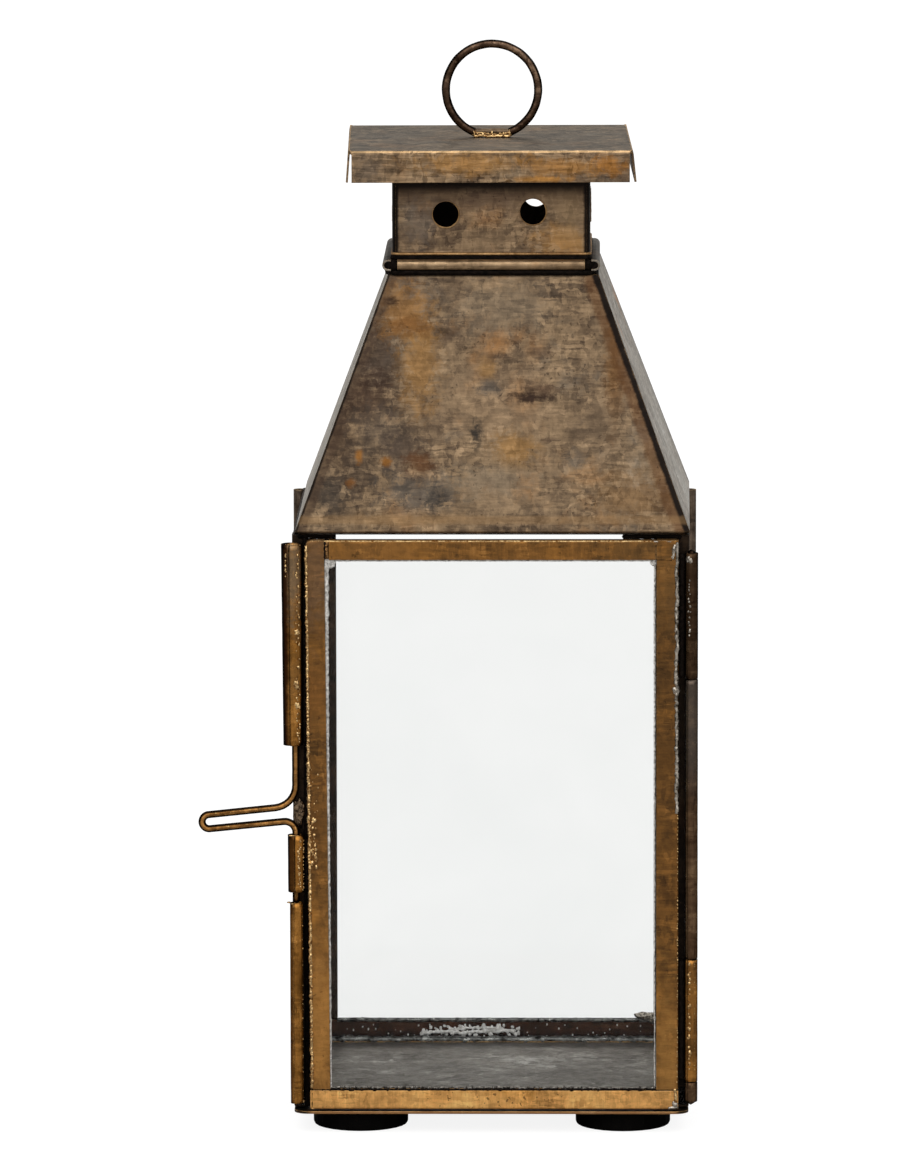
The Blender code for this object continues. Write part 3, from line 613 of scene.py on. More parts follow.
def dress_roof():
    """The four roof sheets: the front one has the marks that the patina is known by."""
    roof_patches = (
        (2, 196, 20, 13, (142, 118, 92), 0.5), (6, 172, 18, 7, (144, 121, 94), 0.45),
        (-30, 209, 7, 12, (62, 50, 42), 0.9), (-34, 197, 8, 9, (58, 41, 31), 0.95),
        (-41, 186, 6, 12, (60, 45, 34), 0.85), (-30, 190, 10, 8, (82, 72, 62), 0.6),
        (-44, 172, 6, 8, (54, 48, 43), 0.9), (-36, 178, 7, 8, (64, 52, 42), 0.8),
        (-20, 173, 11, 7, (74, 70, 66), 0.85), (-24, 185, 8, 7, (64, 53, 46), 0.85),
        (-19.5, 180.5, 5.0, 3.6, (88, 56, 30), 0.9), (-22, 166, 20, 2.5, (128, 100, 68), 0.5),
        (-24, 221, 8, 9, (140, 100, 54), 0.8), (-19.5, 208, 6, 15, (142, 106, 62), 0.85),
        (-22, 217.5, 6, 3, (98, 62, 26), 0.8), (-27.4, 223.9, 2.2, 1.5, (48, 32, 20), 1.0),
        (-1, 205.7, 3, 3.2, (136, 102, 60), 0.8), (-0.5, 200.7, 3.6, 2.6, (82, 76, 70), 0.85),
        (10.8, 198.2, 7.5, 1.7, (48, 33, 25), 1.1), (14, 200.6, 5, 1.6, (78, 58, 44), 0.8),
        (-4, 188.3, 2.0, 4.2, (48, 43, 38), 1.1), (6.5, 184.4, 7, 5.5, (142, 106, 60), 0.8),
        (23.6, 181.4, 3.4, 3.4, (88, 82, 74), 0.8), (14.8, 210.4, 4, 1.5, (82, 64, 50), 0.7),
        (34, 203, 3, 16, (122, 84, 42), 0.6), (30, 190, 10, 12, (94, 78, 62), 0.6),
        (40, 172, 12, 7, (118, 88, 54), 0.6), (3, 222, 16, 8, (122, 108, 90), 0.5),
        (0, 176, 12, 5, (126, 112, 94), 0.6), (-36.5, 182.6, 1.2, 2.0, (132, 86, 32), 0.9),
        (-29.1, 181.4, 2.0, 1.3, (130, 84, 30), 0.9), (-38.6, 175.5, 1.5, 1.3, (108, 68, 28), 0.85),
        (3, 209, 3.2, 0.9, (74, 58, 45), 0.8), (-12, 214, 2, 1.2, (76, 60, 47), 0.7),
        (16, 187, 2.8, 1.0, (84, 66, 52), 0.7), (-15, 171, 3, 4, (52, 48, 45), 0.8),
    )
    roof_seams_and_hem_highlight = (
        (27.2, ROOF_TOP, 52.5, ROOF_FOOT, 2.5, (88, 56, 28), 0.6),
        (28.9, ROOF_TOP, 54.2, ROOF_FOOT, 1.15, (12, 6, 4), 0.97),
        (-27.4, ROOF_TOP, -52.7, ROOF_FOOT, 2.2, (58, 42, 32), 0.55),
        (-28.5, ROOF_TOP, -53.8, ROOF_FOOT, 0.6, (14, 8, 5), 0.95),
        # A light line along the roof's hem: painted highlight on the rolled lip.
        (-53.0, 165.6, 53.0, 165.6, 1.3, (150, 118, 80), 0.3),
    )
    # Faces of the front and back sheets that point sideways are painted near black: painted shade on the
    # turned flanges.
    shaded_folds = {"facings": ((0, 0.6, 1.1, (13, 8, 5), 0.95),), "gain": 0.8}
    ridges = ((*ROOF_FORM, 0.7, (18, 10, 6), 0.85),)
    front = patina(
        "roof_front_brass", patches=roof_patches, seams=roof_seams_and_hem_highlight, warmth=0.2, coolness=0.35,
        brush=0.2, seed=1.0, **SHEET, **shaded_folds,
    )
    dress(front, "roof_front")
    back = patina("roof_back_brass", rims=ridges, warmth=0.45, coolness=0.4, seed=2.0, **SHEET, **shaded_folds)
    dress(back, "roof_back")
    # The brass side sheets are painted light grey and brightened: painted reflection of the bright studio
    # seen at a grazing angle. Their bright rims along the ridges and their bright edges are painted
    # highlights.
    tones = ((74, 70, 64), (106, 102, 96), (134, 130, 124), (168, 164, 156))
    side_sheen_brass = patina(
        "roof_side_brass", warmth=0.0, coolness=0.7, seed=3.0, grain=DEEP, warm=SHEET_WARM,
        cool=(136, 136, 132), gain=2.6, tones=tones, edge_wear_and_glint=1.0, wear_tone=(214, 210, 202),
        rims=((*ROOF_FORM, 2.6, (120, 118, 112), 0.5),),
    )
    dress(side_sheen_brass, "roof_left", "roof_right")


def dress_top():
    """The chimney, the lid and the beads where the roof meets the chimney."""
    chimney_patches = (
        (20, 240, 9, 5, (156, 116, 66), 0.7), (-20, 246, 5, 8, (104, 94, 84), 0.6),
        (0, 252, 12, 5, (98, 80, 66), 0.7), (8, 235.5, 14, 1.2, (160, 110, 44), 0.9),
        (22, 250, 4, 8, (134, 112, 84), 0.6),
    )
    # Darker towards the top of the chimney: painted shadow under the cap, with smoke stain.
    cap_shadow_and_smoke_bands = ((2, 247.0, 254.5, (62, 46, 34), 0.6), (2, 252.6, 256.0, (10, 5, 3), 0.97))
    # Near black down the chimney's rounded corners: painted shade where they turn away.
    corners = ((231.0, 27.5, 266.0, 27.5, 1.9, (10, 5, 3), 0.97),)
    chimney = patina(
        "chimney_brass", patches=chimney_patches, warmth=0.1, seed=4.0, gain=1.4, bands=cap_shadow_and_smoke_bands,
        # The chimney's inside is painted near black: smoke stain, and the shade inside it.
        rims=corners, inside=27.1, **SHEET,
    )
    dress(chimney, "chimney")
    cap_patches = (
        (-34, 261, 5, 5, (96, 84, 72), 0.8), (-27, 261, 3, 1.2, (44, 34, 26), 0.8),
        (-6, 263, 16, 3.5, (164, 122, 70), 0.8), (20, 262, 14, 3, (158, 112, 56), 0.7),
        (33, 262.5, 5, 3, (160, 108, 48), 0.8), (14, 258.6, 10, 1.0, (176, 124, 58), 0.8),
        (6, 260.5, 6, 2, (146, 128, 104), 0.5),
    )
    cap = patina(
        "cap_brass", patches=cap_patches, warmth=0.3, seed=5.0, edge_wear_and_glint=0.45, tones=SHEET_TONES,
        warm=SHEET_WARM, cool=(104, 104, 100), coolness=0.3, grain=ACROSS, gain=1.25,
        # Upward faces tinted grey: painted reflection of the overhead light. The bend below the top gets a
        # bright tint: painted highlight.
        facings=((2, 0.9, 1.2, (92, 90, 84), 0.6), (2, 0.35, 0.75, (190, 158, 116), 0.75)),
        strokes=1.4, brush=0.85, scratch=1.0,
    )
    dress(cap, "cap")
    round_brass = {"warm": SHEET_WARM, "rough": (0.3, 0.45), "gain": 1.4}
    bead = patina(
        "bead_brass", seed=7.0, tones=((64, 50, 38), (100, 82, 62), (134, 112, 86), (168, 146, 116)),
        grain=ACROSS, **round_brass,
    )
    dress(bead, "collar_bead_front", "collar_bead_back")
    # The side beads get grey tones: painted light on their lit top faces.
    bead = patina(
        "bead_side_brass", seed=7.5, tones=((60, 56, 50), (84, 80, 74), (106, 102, 96), (136, 132, 124)),
        grain=DEEP, grime_and_shade=0.2, **round_brass,
    )
    dress(bead, "collar_bead_left", "collar_bead_right")


def dress_door():
    """The door's own rails and its right stile."""
    lines_up, lines_across = (1.9, 1.9, 0.12), (0.12, 1.9, 1.9)
    top_patches = ((42, 158, 12, 4, (104, 77, 44), 0.5), (-30, 158, 16, 4, (140, 98, 50), 0.5))
    top = patina("door_top_brass", grain=lines_up, gain=1.2, seed=8.0, patches=top_patches, **GOLD)
    dress(top, "door_top_rail")
    bottom = patina(
        "door_bottom_brass", tones=((94, 68, 38), (144, 105, 58), (182, 137, 80), (210, 168, 104)),
        warm=(190, 134, 62), grain=lines_up, seed=9.0, gain=1.5, brush=0.12, strokes=0.7, pits=0.8,
    )
    dress(bottom, "door_bottom_rail")
    right_patches = (
        (49, 100, 6, 34, (78, 54, 28), 0.6), (49, 148, 5, 14, (104, 78, 46), 0.5),
        (49, 12, 5, 26, (156, 114, 60), 0.7), (49, 62, 3, 5, (58, 38, 20), 0.6),
    )
    right = patina(
        "door_right_brass", grain=lines_across, seed=11.0, gain=1.12, patches=right_patches, **GOLD
    )
    dress(right, "door_stile_right")


def dress_body():
    """The floor, the frames of the fixed panes, the rear tubes, the panes and the feet."""
    # The dark band in front of the back rail is painted shade and a painted reflection of the rail; the
    # black bands along the sides are painted shade beside the side panels. The golden band is the plate's
    # front edge.
    base_bands = (
        (1, 37, 45, (46, 42, 40), 0.75), (1, -49.8, -50.8, (116, 80, 46), 0.9),
        (0, -49.5, -51.5, (8, 4, 2), 0.95), (0, 51.0, 52.5, (8, 4, 2), 0.95),
    )
    base = patina(
        "base_brass", seed=6.0, tones=((60, 54, 48), (90, 86, 81), (108, 104, 99), (150, 148, 144)),
        grain=(0.12, 0.9, 0.9), wear_tone=(190, 150, 96), edge_wear_and_glint=0.9, rough=(0.3, 0.5), scratch=1.0,
        bands=base_bands, gain=1.6, strokes=1.0, relief=0.45,
    )
    dress(base, "base_plate")
    # The body's frames and back rail get far darker tones than the door's brass: painted shade for the
    # inside of the lantern.
    dark = {"tones": DARK_TONES, "warm": (70, 44, 26), "edge_wear_and_glint": 0.35, "wear_tone": (130, 104, 74)}
    panels = patina("panel_brass", grain=(0.5, 0.5, 0.5), seed=12.0, gain=0.65, **dark)
    parts = ("bottom_rail", "top_rail", "stile_left", "stile_right")
    dress(panels, *[f"{side}_{part}" for side in ("left", "right", "back") for part in parts])
    rail_tones = ((14, 6, 4), (38, 22, 14), (66, 42, 30), (104, 76, 58))
    rail = patina("rail_brass", grain=(0.5, 0.5, 0.5), seed=12.5, tones=rail_tones, edge_wear_and_glint=0.2)
    dress(rail, "back_bottom_rail")
    # The rear tubes get grey tones, brightened: painted reflection of the white surroundings.
    grey = {"tones": ((26, 20, 16), (58, 48, 40), (92, 80, 68), (126, 114, 98))}
    tube = patina("rear_tube_brass", grain=UPRIGHT, seed=13.0, gain=1.7, **grey)
    dress(tube, "rear_tube_left", "rear_tube_right")
    dress(glass_finish(), "door_glass", "left_glass", "right_glass", "back_glass")
    dress(rubber_finish(), "foot_front_left", "foot_front_right", "foot_rear_left", "foot_rear_right")


def latch_tubes(soot_and_shade):
    """The two guides on the door and the keeper on the body, each rolled from sheet."""
    warm = {"tones": ((46, 28, 10), (96, 64, 26), (142, 98, 46), (188, 140, 78)), "warm": GOLD_WARM}
    look = {"grain": UPRIGHT, "rough": (0.22, 0.38), "edge_wear_and_glint": 0.7, "gain": 1.5, **warm}
    look["outline"] = (0.2, 0.5, 0.95)
    dim = (38, 18, 8)
    greyed = ((-55, 150, 4, 14, (108, 92, 72), 0.9), (-54.5, 122, 4, 8, (104, 78, 46), 0.5))
    upper = (-54.75, BOLT_Y, 103.2), (-54.85, BOLT_Y, 159.2), (2.95, 3.3), 0.45, -106, 0.4, 1
    short = *upright(BOLT_X, BOLT_Y, 62.0, 78.0), (2.55, 2.6), 0.45, -99, 0.4, 2
    keeper = *upright(BOLT_X, BOLT_Y, 2.5, 58.9), (1.95, 1.95), 0.4, -115, 0.22, 3
    faint = {"outline": (0.62, 0.95, 0.85), "grime_and_shade": 0.6}
    tubes = (
        ("guide_upper", "bolt_guide_upper", "door", upper, (-55.0, -56.6, dim, 0.94), {"patches": greyed}),
        ("guide_short", "bolt_guide_short", "door", short, (-53.9, -54.6, dim, 0.8), {}),
        ("keeper", "bolt_keeper", "lantern", keeper, (-54.5, -55.2, dim, 0.6), faint),
    )
    for number, (name, node, body, shape, band, extra) in enumerate(tubes):
        brass = patina(f"{name}_brass", seed=14.0 + number, bands=((0, *band),), **{**look, **extra})
        form = bmesh.new()
        rolled(form, *shape)
        place_piece(f"{name}_rolled", form, brass, body, "aged_brass", node)

    # Black webs between each tube and the door or body: painted shade in the gap, over the solder joint.
    form = bmesh.new()
    rod(form, line((-51.35, -54.5, 104.0), (-51.3, -54.5, 158.4), stray=0.12), 0.62, flat=0.9, lumpy=0.5)
    rod(form, line(*upright(-51.1, -54.6, 62.8, 76.4), stray=0.12), 0.62, flat=0.9, lumpy=0.5)
    place_piece("guide_webs", form, soot_and_shade, "door", "dark_brass")
    form = bmesh.new()
    rod(form, line(*upright(-54.0, -52.1, 3.2, 58.0), stray=0.1), 0.6, lumpy=0.4)
    place_piece("keeper_web", form, soot_and_shade, "lantern", "dark_brass")


def stile_lean(z):
    """How far the door's left stile leans from its true place at a height, in millimetres."""
    return 0.35 - 1.15 * (z - 6.45) / 153.9


def leaning_stile():
    """The door's left stile: a folded channel that leans a little, with a rounded top corner."""
    bottom, top, round_off, sheet, bend = 6.45, 160.3, 1.5, 0.5, 0.55
    outer_edge, inner_edge, face, rear = -50.3, -45.05, -56.0, -52.2
    heights = [bottom + (top - round_off - bottom) * step / 90 for step in range(91)]
    turns = (20, 40, 55, 70, 80, 90)
    heights += [top - round_off * (1 - math.sin(math.radians(turn))) for turn in turns]
    form = bmesh.new()
    sections = []
    for z in heights:
        lean = stile_lean(z)
        over = max(0.0, z - (top - round_off))
        left = outer_edge + lean + round_off - math.sqrt(round_off ** 2 - over ** 2) + 0.02
        right = inner_edge + lean + 0.07 * noise.noise(Vector((z / 4, 5.1, 0)))
        front = face + 0.05 * noise.noise(Vector((z / 9, 2.2, 0)))
        profile = [(left, rear), (left, front + bend), (left + bend * 0.29, front + bend * 0.29)]
        profile += [(left + bend, front), (right - 0.1, front), (right, front + 0.1)]
        profile += [(right, front + sheet), (left + sheet, front + sheet)]
        profile += [(left + sheet, rear - sheet), (right, rear - sheet), (right, rear)]
        sections.append([form.verts.new((x * MM, y * MM, z * MM)) for x, y in profile])
    join_rings(form, sections)
    form.faces.new(sections[0])
    form.faces.new(sections[-1])
    rod(form, line((-50.1, -54.1, 159.5), (-46.2, -54.1, 159.7)), 0.5, 12, 3.4, 0.1)
    patches = (
        (-48.5, 150, 5, 16, (122, 94, 68), 0.6), (-47.6, 118, 5, 9, (126, 84, 40), 0.5),
        (-47.2, 22, 5, 30, (162, 116, 60), 0.8), (-49, 76, 2, 9, (96, 64, 30), 0.6),
        (-46, 92, 2, 3, (92, 62, 32), 0.6), (-47, 134, 3, 3, (98, 68, 38), 0.5),
    )
    brass = patina(
        "door_left_brass", grain=(0.2, 1.9, 1.9), seed=10.0, gain=1.22, patches=patches, **GOLD
    )
    made = place_piece("stile_left_folded", form, brass, "door", "aged_brass", "door_stile_left")
    made.data.set_sharp_from_angle(angle=math.radians(35))


def hinge_tubes(soot_and_shade):
    """The four knuckles of the hinge, rolled like the guides."""
    dark = {"tones": ((18, 10, 6), (42, 28, 17), (66, 50, 36), (104, 84, 62)), "edge_wear_and_glint": 0.6}
    greyed = ((2, 82, 104, (58, 56, 54), 0.6),)
    look = {"grain": UPRIGHT, "rough": (0.22, 0.4), "outline": (0.36, 0.74, 0.95), "grime_and_shade": 0.5}
    places = (
        ("door_knuckle_upper", 121.7, 156.7, "door", {"gain": 1.05, **dark}),
        ("body_knuckle", 43.2, 121.4, "lantern", {"gain": 1.9, "bands": greyed, **dark}),
        ("door_knuckle_lower", 8.7, 42.9, "door", {"gain": 1.7, "tones": GOLD_TONES, "warm": GOLD_WARM}),
        ("body_knuckle_foot", 2.9, 8.4, "lantern", {"gain": 1.5, **dark}),
    )
    for number, (node, low, high, body, tint) in enumerate(places):
        brass = patina(f"{node}_brass", seed=17.0 + number, **look, **tint)
        form = bmesh.new()
        rolled(form, *upright(PIN_X, PIN_Y, low, high), (1.95, 1.95), 0.4, -128, 0.2, 4 + number)
        place_piece(f"{node}_rolled", form, brass, body, "dark_brass", node)
        # Black webs between each knuckle and its edge: painted shade in the gap, over the solder joint.
        form = bmesh.new()
        if body == "door":
            root = line(*upright(52.75, -54.2, low + 0.7, high - 0.7), stray=0.1, seed=number)
            rod(form, root, 0.85, flat=0.7, lumpy=0.35)
        else:
            root = line(*upright(54.3, -52.0, low + 0.7, high - 0.7), stray=0.08)
            rod(form, root, 0.55, lumpy=0.3)
        place_piece(f"{node}_web", form, soot_and_shade, body, "dark_brass")


def wires():
    """The drop bolt, the hinge pin and the hanging ring, as slightly uneven drawn wire."""
    tones = ((10, 6, 4), (30, 20, 14), (60, 46, 36), (116, 96, 78))
    look = {"tones": tones, "grain": EVEN, "rough": (0.16, 0.32), "edge_wear_and_glint": 0.2, "contrast": 1.3}
    look["outline"] = (0.08, 0.34, 0.96)
    bright = {"tones": ((36, 20, 8), (90, 60, 28), (156, 112, 62), (214, 168, 110)), "rough": (0.18, 0.32)}

    def uneven(share):
        return 1.03 - 0.03 * abs(noise.noise(Vector((share * 40, 1.7, 0))))

    top, tip, bend, reach, end, hairpin = 143.0, 59.3, 6.4, 24.0, 81.6, 2.0
    upper_end, lower_end = (-reach, end + hairpin), (-reach, end - hairpin)
    path = [point.xz for point in line((0, 0, top), (0, 0, 94), 2.0)]
    path += fillet((0, 86.1), (0, top), upper_end, bend)
    path += arc((-reach, end), hairpin, 90, 270, 14)
    path += fillet((0, 82.0), lower_end, (0, tip), bend * 0.48)
    path += [point.xz for point in line((0, 0, 77), (0, 0, tip), 2.0)]
    form = bmesh.new()
    rod(form, [(BOLT_X + x, BOLT_Y, z) for x, z in path], uneven, 16, lumpy=0.04, pitch=2.5)
    brass = patina(
        "bolt_wire_brass", seed=20.0, grain=EVEN, edge_wear_and_glint=0.2, gain=1.45,
        outline=(0.02, 0.16, 0.97), **bright,
    )
    place_piece("bolt_wire", form, brass, "bolt", "dark_wire", "drop_bolt")

    form = bmesh.new()
    rod(form, line(*upright(PIN_X, PIN_Y, 157.1, 2.5), 2.0), uneven, 16, lumpy=0.04, pitch=2.5)
    brass = patina("pin_wire_brass", seed=21.0, **look)
    place_piece("pin_wire", form, brass, "lantern", "dark_wire", "hinge_pin")

    form = bmesh.new()
    path = arc((0, RING_Z), RING_RADIUS, -90 + 22.6, 270 - 22.6, 150)
    rod(form, [(x, 0, z) for x, z in path], lambda share: 1.13 * uneven(share), 16, lumpy=0.05, pitch=3.0)
    ring = patina("ring_wire_brass", seed=22.0, gain=2.1, **look)
    place_piece("ring_wire", form, ring, "lantern", "dark_wire", "hanging_ring")


def saddle(braze, sheet):
    """A strip of sheet between the ring's ends, and the braze that holds both to the cap."""
    form = bmesh.new()
    rod(form, line((-5.3, 0.1, 268.2), (5.3, 0.1, 268.2), stray=0.12), 1.0, 14, lumpy=0.25, pitch=1.4)
    place_piece("saddle_strip", form, sheet, "lantern", "bright_solder", "ring_saddle")
    form = bmesh.new()
    rod(form, line((-5.0, -1.25, 267.15), (5.0, -1.25, 267.15), 0.3, 0.25), 0.42, lumpy=0.6, pitch=0.7)
    rod(form, line((-4.6, -1.15, 268.15), (1.2, -1.2, 267.6), 0.3, 0.2), 0.22, lumpy=0.6, pitch=0.6)
    rod(form, line((0.6, -1.2, 267.3), (4.9, -1.15, 268.2), 0.3, 0.3), 0.2, lumpy=0.6, pitch=0.6)
    drops(form, (-4.8, -1.3, 267.5), (4.9, -1.3, 267.5), (0.18, 0.42), 0.55, (0.1, 0.15, 0.5), 31)
    for side in (-1, 1):
        drop(form, (side * 4.9, -0.5, 267.9), (0.7, 0.75, 1.0), 0.5, 3)
        drop(form, (side * 4.9, 0.9, 267.7), (0.6, 0.6, 0.8), 0.5, 3)
    drops(form, (-4.8, 1.35, 267.1), (4.8, 1.35, 267.1), (0.25, 0.45), 0.8, (0.1, 0.15, 0.15), 32)
    place_piece("saddle_braze", form, braze, "lantern")


def door_braze(braze, tin, soot_and_shade, putty):
    """Beads, blobs and seams along the door's edges and on its tubes, and bright bars along its top edge as
    a painted highlight.
    """
    form = bmesh.new()
    low, high = -50.1 + stile_lean(8), -50.1 + stile_lean(158)
    drops(form, (low, -55.8, 8), (high, -55.8, 158), (0.3, 0.6), 0.6, (0.14, 0.12, 0.3), 1)
    drops(form, (-49.2, -55.95, 69), (-49.5, -55.95, 83), (0.24, 0.56), 0.4, (0.95, 0.06, 0.4), 2)
    drops(form, *upright(-48.8, -55.95, 84, 96), (0.12, 0.24), 1.2, (1.2, 0.04, 0.8), 3)
    rod(form, line((low, -55.72, 7), (high, -55.72, 158.6), 0.8, 0.14, 1), 0.46, 8, lumpy=0.7, pitch=0.9)
    place_piece("stile_braze_left", form, braze, "door")

    form = bmesh.new()
    drops(form, *upright(-56.4, -57.3, 150.5, 157.4), (0.2, 0.34), 0.8, (0.1, 0.05, 0.2), 4)
    drops(form, (-53.2, -57.35, 124), (-53.3, -57.45, 157), (0.16, 0.36), 1.2, (0.5, 0.08, 0.5), 5)
    drops(form, (-53.2, -57.1, 104), (-53.2, -57.2, 122), (0.18, 0.4), 0.7, (0.5, 0.06, 0.4), 6)
    drop(form, (-53.4, -57.3, 135), (0.8, 0.45, 0.9), 0.6, 3)
    drop(form, (-53.7, -57.3, 120.5), (0.8, 0.4, 1.3), 0.6, 3)
    drop(form, (-53.5, -57.2, 114.5), (0.7, 0.4, 1.0), 0.6, 3)
    drops(form, (-57.6, -55.6, 159.1), (-52.4, -57.0, 159.1), (0.14, 0.24), 0.5, (0.1, 0.3, 0.06), 7)
    drops(form, *upright(-53.1, -56.85, 63.5, 76.5), (0.22, 0.44), 0.46, (0.4, 0.05, 0.3), 8)
    drops(form, (-54.3, -56.7, 62.6), (-51.9, -55.9, 62.6), (0.25, 0.42), 0.4, (0.05, 0.1, 0.25), 9)
    drops(form, *upright(-51.9, -55.9, 63, 77), (0.16, 0.3), 0.9, (0.1, 0.1, 0.3), 10)
    rod(form, line((-55.9, -56.4, 78.0), (-53.2, -56.95, 78.0), 0.3), 0.16, 8, lumpy=0.3)
    place_piece("guide_braze", form, braze, "door")

    form = bmesh.new()
    drops(form, (54.8, -55.95, 133.5), (54.9, -55.95, 150), (0.2, 0.4), 1.0, (0.3, 0.05, 0.3), 11)
    drop(form, (54.9, -55.8, 155.0), (0.8, 0.5, 1.2), 0.5, 3)
    place_piece("knuckle_solder", form, tin, "door")
    form = bmesh.new()
    drops(form, *upright(54.9, -56.0, 12, 42), (0.28, 0.56), 1.3, (0.25, 0.05, 0.5), 12)
    drops(form, *upright(56.4, -55.7, 10, 42), (0.08, 0.14), 0.6, (0.04, 0.04, 0.3), 13)
    place_piece("knuckle_braze", form, braze, "door")

    form = bmesh.new()
    rod(form, line(*upright(51.35, -55.75, 84, 155), 0.6, 0.25, 2), 0.58, 9, lumpy=0.8, pitch=0.9)
    drop(form, (51.25, -55.8, 118.5), (1.0, 0.6, 1.3), 0.6, 3)
    drops(form, *upright(51.4, -55.9, 112, 126), (0.2, 0.4), 1.4, (0.3, 0.1, 0.4), 14)
    rod(form, line((51.45, -55.9, 154.8), (51.4, -55.85, 159.7), 0.4, 0.15, 3), 0.42, lumpy=0.6)
    rod(form, line((50.5, -55.9, 155.2), (50.7, -55.85, 159.2), 0.3, 0.25, 4), 0.5, lumpy=0.9, pitch=0.8)
    drops(form, (49.9, -55.95, 155.4), (50.3, -55.95, 158.2), (0.12, 0.26), 0.6, (0.3, 0.03, 0.3), 60)
    # A bright bar along the door's top edge at the right: painted highlight.
    rod(form, line((45.0, -55.8, 160.05), (51.0, -55.75, 160.05), 0.5, 0.1, 6), 0.22, lumpy=0.5)
    rod(form, line((49.2, -55.85, 1.25), (51.7, -55.8, 1.4), 0.3, 0.15, 7), 0.42, lumpy=0.5)
    drop(form, (51.0, -55.9, 2.2), (0.9, 0.5, 0.9), 0.5, 3)
    place_piece("stile_solder_right", form, tin, "door")

    form = bmesh.new()
    drops(form, *upright(51.65, -55.8, 8, 84), (0.12, 0.26), 0.8, (0.08, 0.1, 0.3), 15)
    rod(form, line(*upright(51.1, -55.9, 2.8, 6.6), 0.3, 0.2, 8), 0.5, lumpy=0.5)
    # Bright bars round the door's top left corner and along its top edge: painted highlight.
    rod(form, line((-50.9, -55.75, 158.6), (-49.7, -55.75, 160.1), 0.3, 0.08, 9), 0.22, lumpy=0.4)
    rod(form, line((-49.7, -55.8, 160.12), (-46.2, -55.8, 160.15), 0.4, 0.06, 19), 0.2, lumpy=0.5)
    rail = line((-46.0, -55.8, 160.1), (44.6, -55.8, 160.1), 0.8, 0.05, 18)
    rod(form, rail, 0.2, 8, lumpy=0.35, pitch=2.0)
    rod(form, line((-50.0, -55.8, 1.0), (-49.3, -55.8, 0.95), 0.3, 0.05, 10), 0.22, lumpy=0.4)
    place_piece("stile_braze_right", form, braze, "door")

    form = bmesh.new()
    level = line((45.8, -55.97, 154.95), (50.0, -55.97, 154.9), 0.4, 0.05, 45)
    rod(form, level, 0.09, 8, lumpy=0.7, pitch=0.8)
    rod(form, line(*upright(-45.75, -55.75, 155.2, 159.9), 0.3, 0.12, 44), 0.3, 8, lumpy=0.8, pitch=0.7)
    rod(form, line((-49.9, -55.72, 6.3), (51.7, -55.72, 6.3), 0.5, 0.14, 46), 0.3, 8, lumpy=0.8, pitch=0.8)
    rod(form, line(*upright(-49.75, -55.8, 1.4, 6.2), 0.3, 0.08, 47), 0.2, 8, lumpy=0.6, pitch=0.8)
    place_piece("corner_seams", form, soot_and_shade, "door", "dark_brass")
    form = bmesh.new()
    rod(form, line(*upright(-45.2, -54.9, 155.4, 159.8), 0.4, 0.05, 48), 0.95, 12, 1.0, 0.25, 1.4)
    drops(form, *upright(-45.3, -55.8, 155.6, 159.6), (0.2, 0.34), 0.7, (0.35, 0.05, 0.2), 49)
    rod(form, line(*upright(45.65, -55.72, 155.1, 160.2), 0.4, 0.02, 45), 0.27, 8)
    dull = solder_finish("dull_braze", (44, 27, 12), (176, 134, 88), seed=6)
    place_piece("corner_fillet", form, dull, "door")

    form = bmesh.new()
    low, high = -44.85 + stile_lean(7), -44.7 + stile_lean(153)
    left = line((low, -55.3, 7.0), (high, -55.3, 153.6), 0.7, 0.1, 11)
    rod(form, left, lambda share: 0.25 + 0.28 * share + 0.4 * share ** 7, 8, 0.26, 0.6, 0.8)
    right = line((45.35, -55.3, 7.0), (45.25, -55.3, 154.0), 0.8, 0.1, 12)
    rod(form, right, lambda share: 0.16 + 0.1 * share, 8, 0.3, 0.5, 0.8)
    rod(form, line((-45.4, -55.3, 154.75), (45.4, -55.3, 154.75), 0.8, 0.05, 13), 0.3, 8, 0.5, 0.5, 0.8)
    drop(form, (-44.4, -55.3, 153.9), (1.7, 0.17, 1.3), 0.4, 3)
    drop(form, (45.0, -55.3, 154.2), (1.0, 0.17, 1.0), 0.4, 3)
    place_piece("glazing_putty", form, putty, "door")

    form = bmesh.new()
    drops(form, (-44.0, -55.4, 6.8), (45.2, -55.4, 6.7), (0.16, 0.42), 0.8, (0.3, 0.03, 0.3), 50)
    rod(form, line((-44.4, -55.3, 6.9), (45.4, -55.3, 6.8), 0.7, 0.12, 14), 0.3, 8, 0.5, 0.8, 0.9)
    grey = solder_finish("grey_solder", (40, 36, 33), (140, 136, 130), seed=7)
    place_piece("rail_solder_front", form, grey, "door")


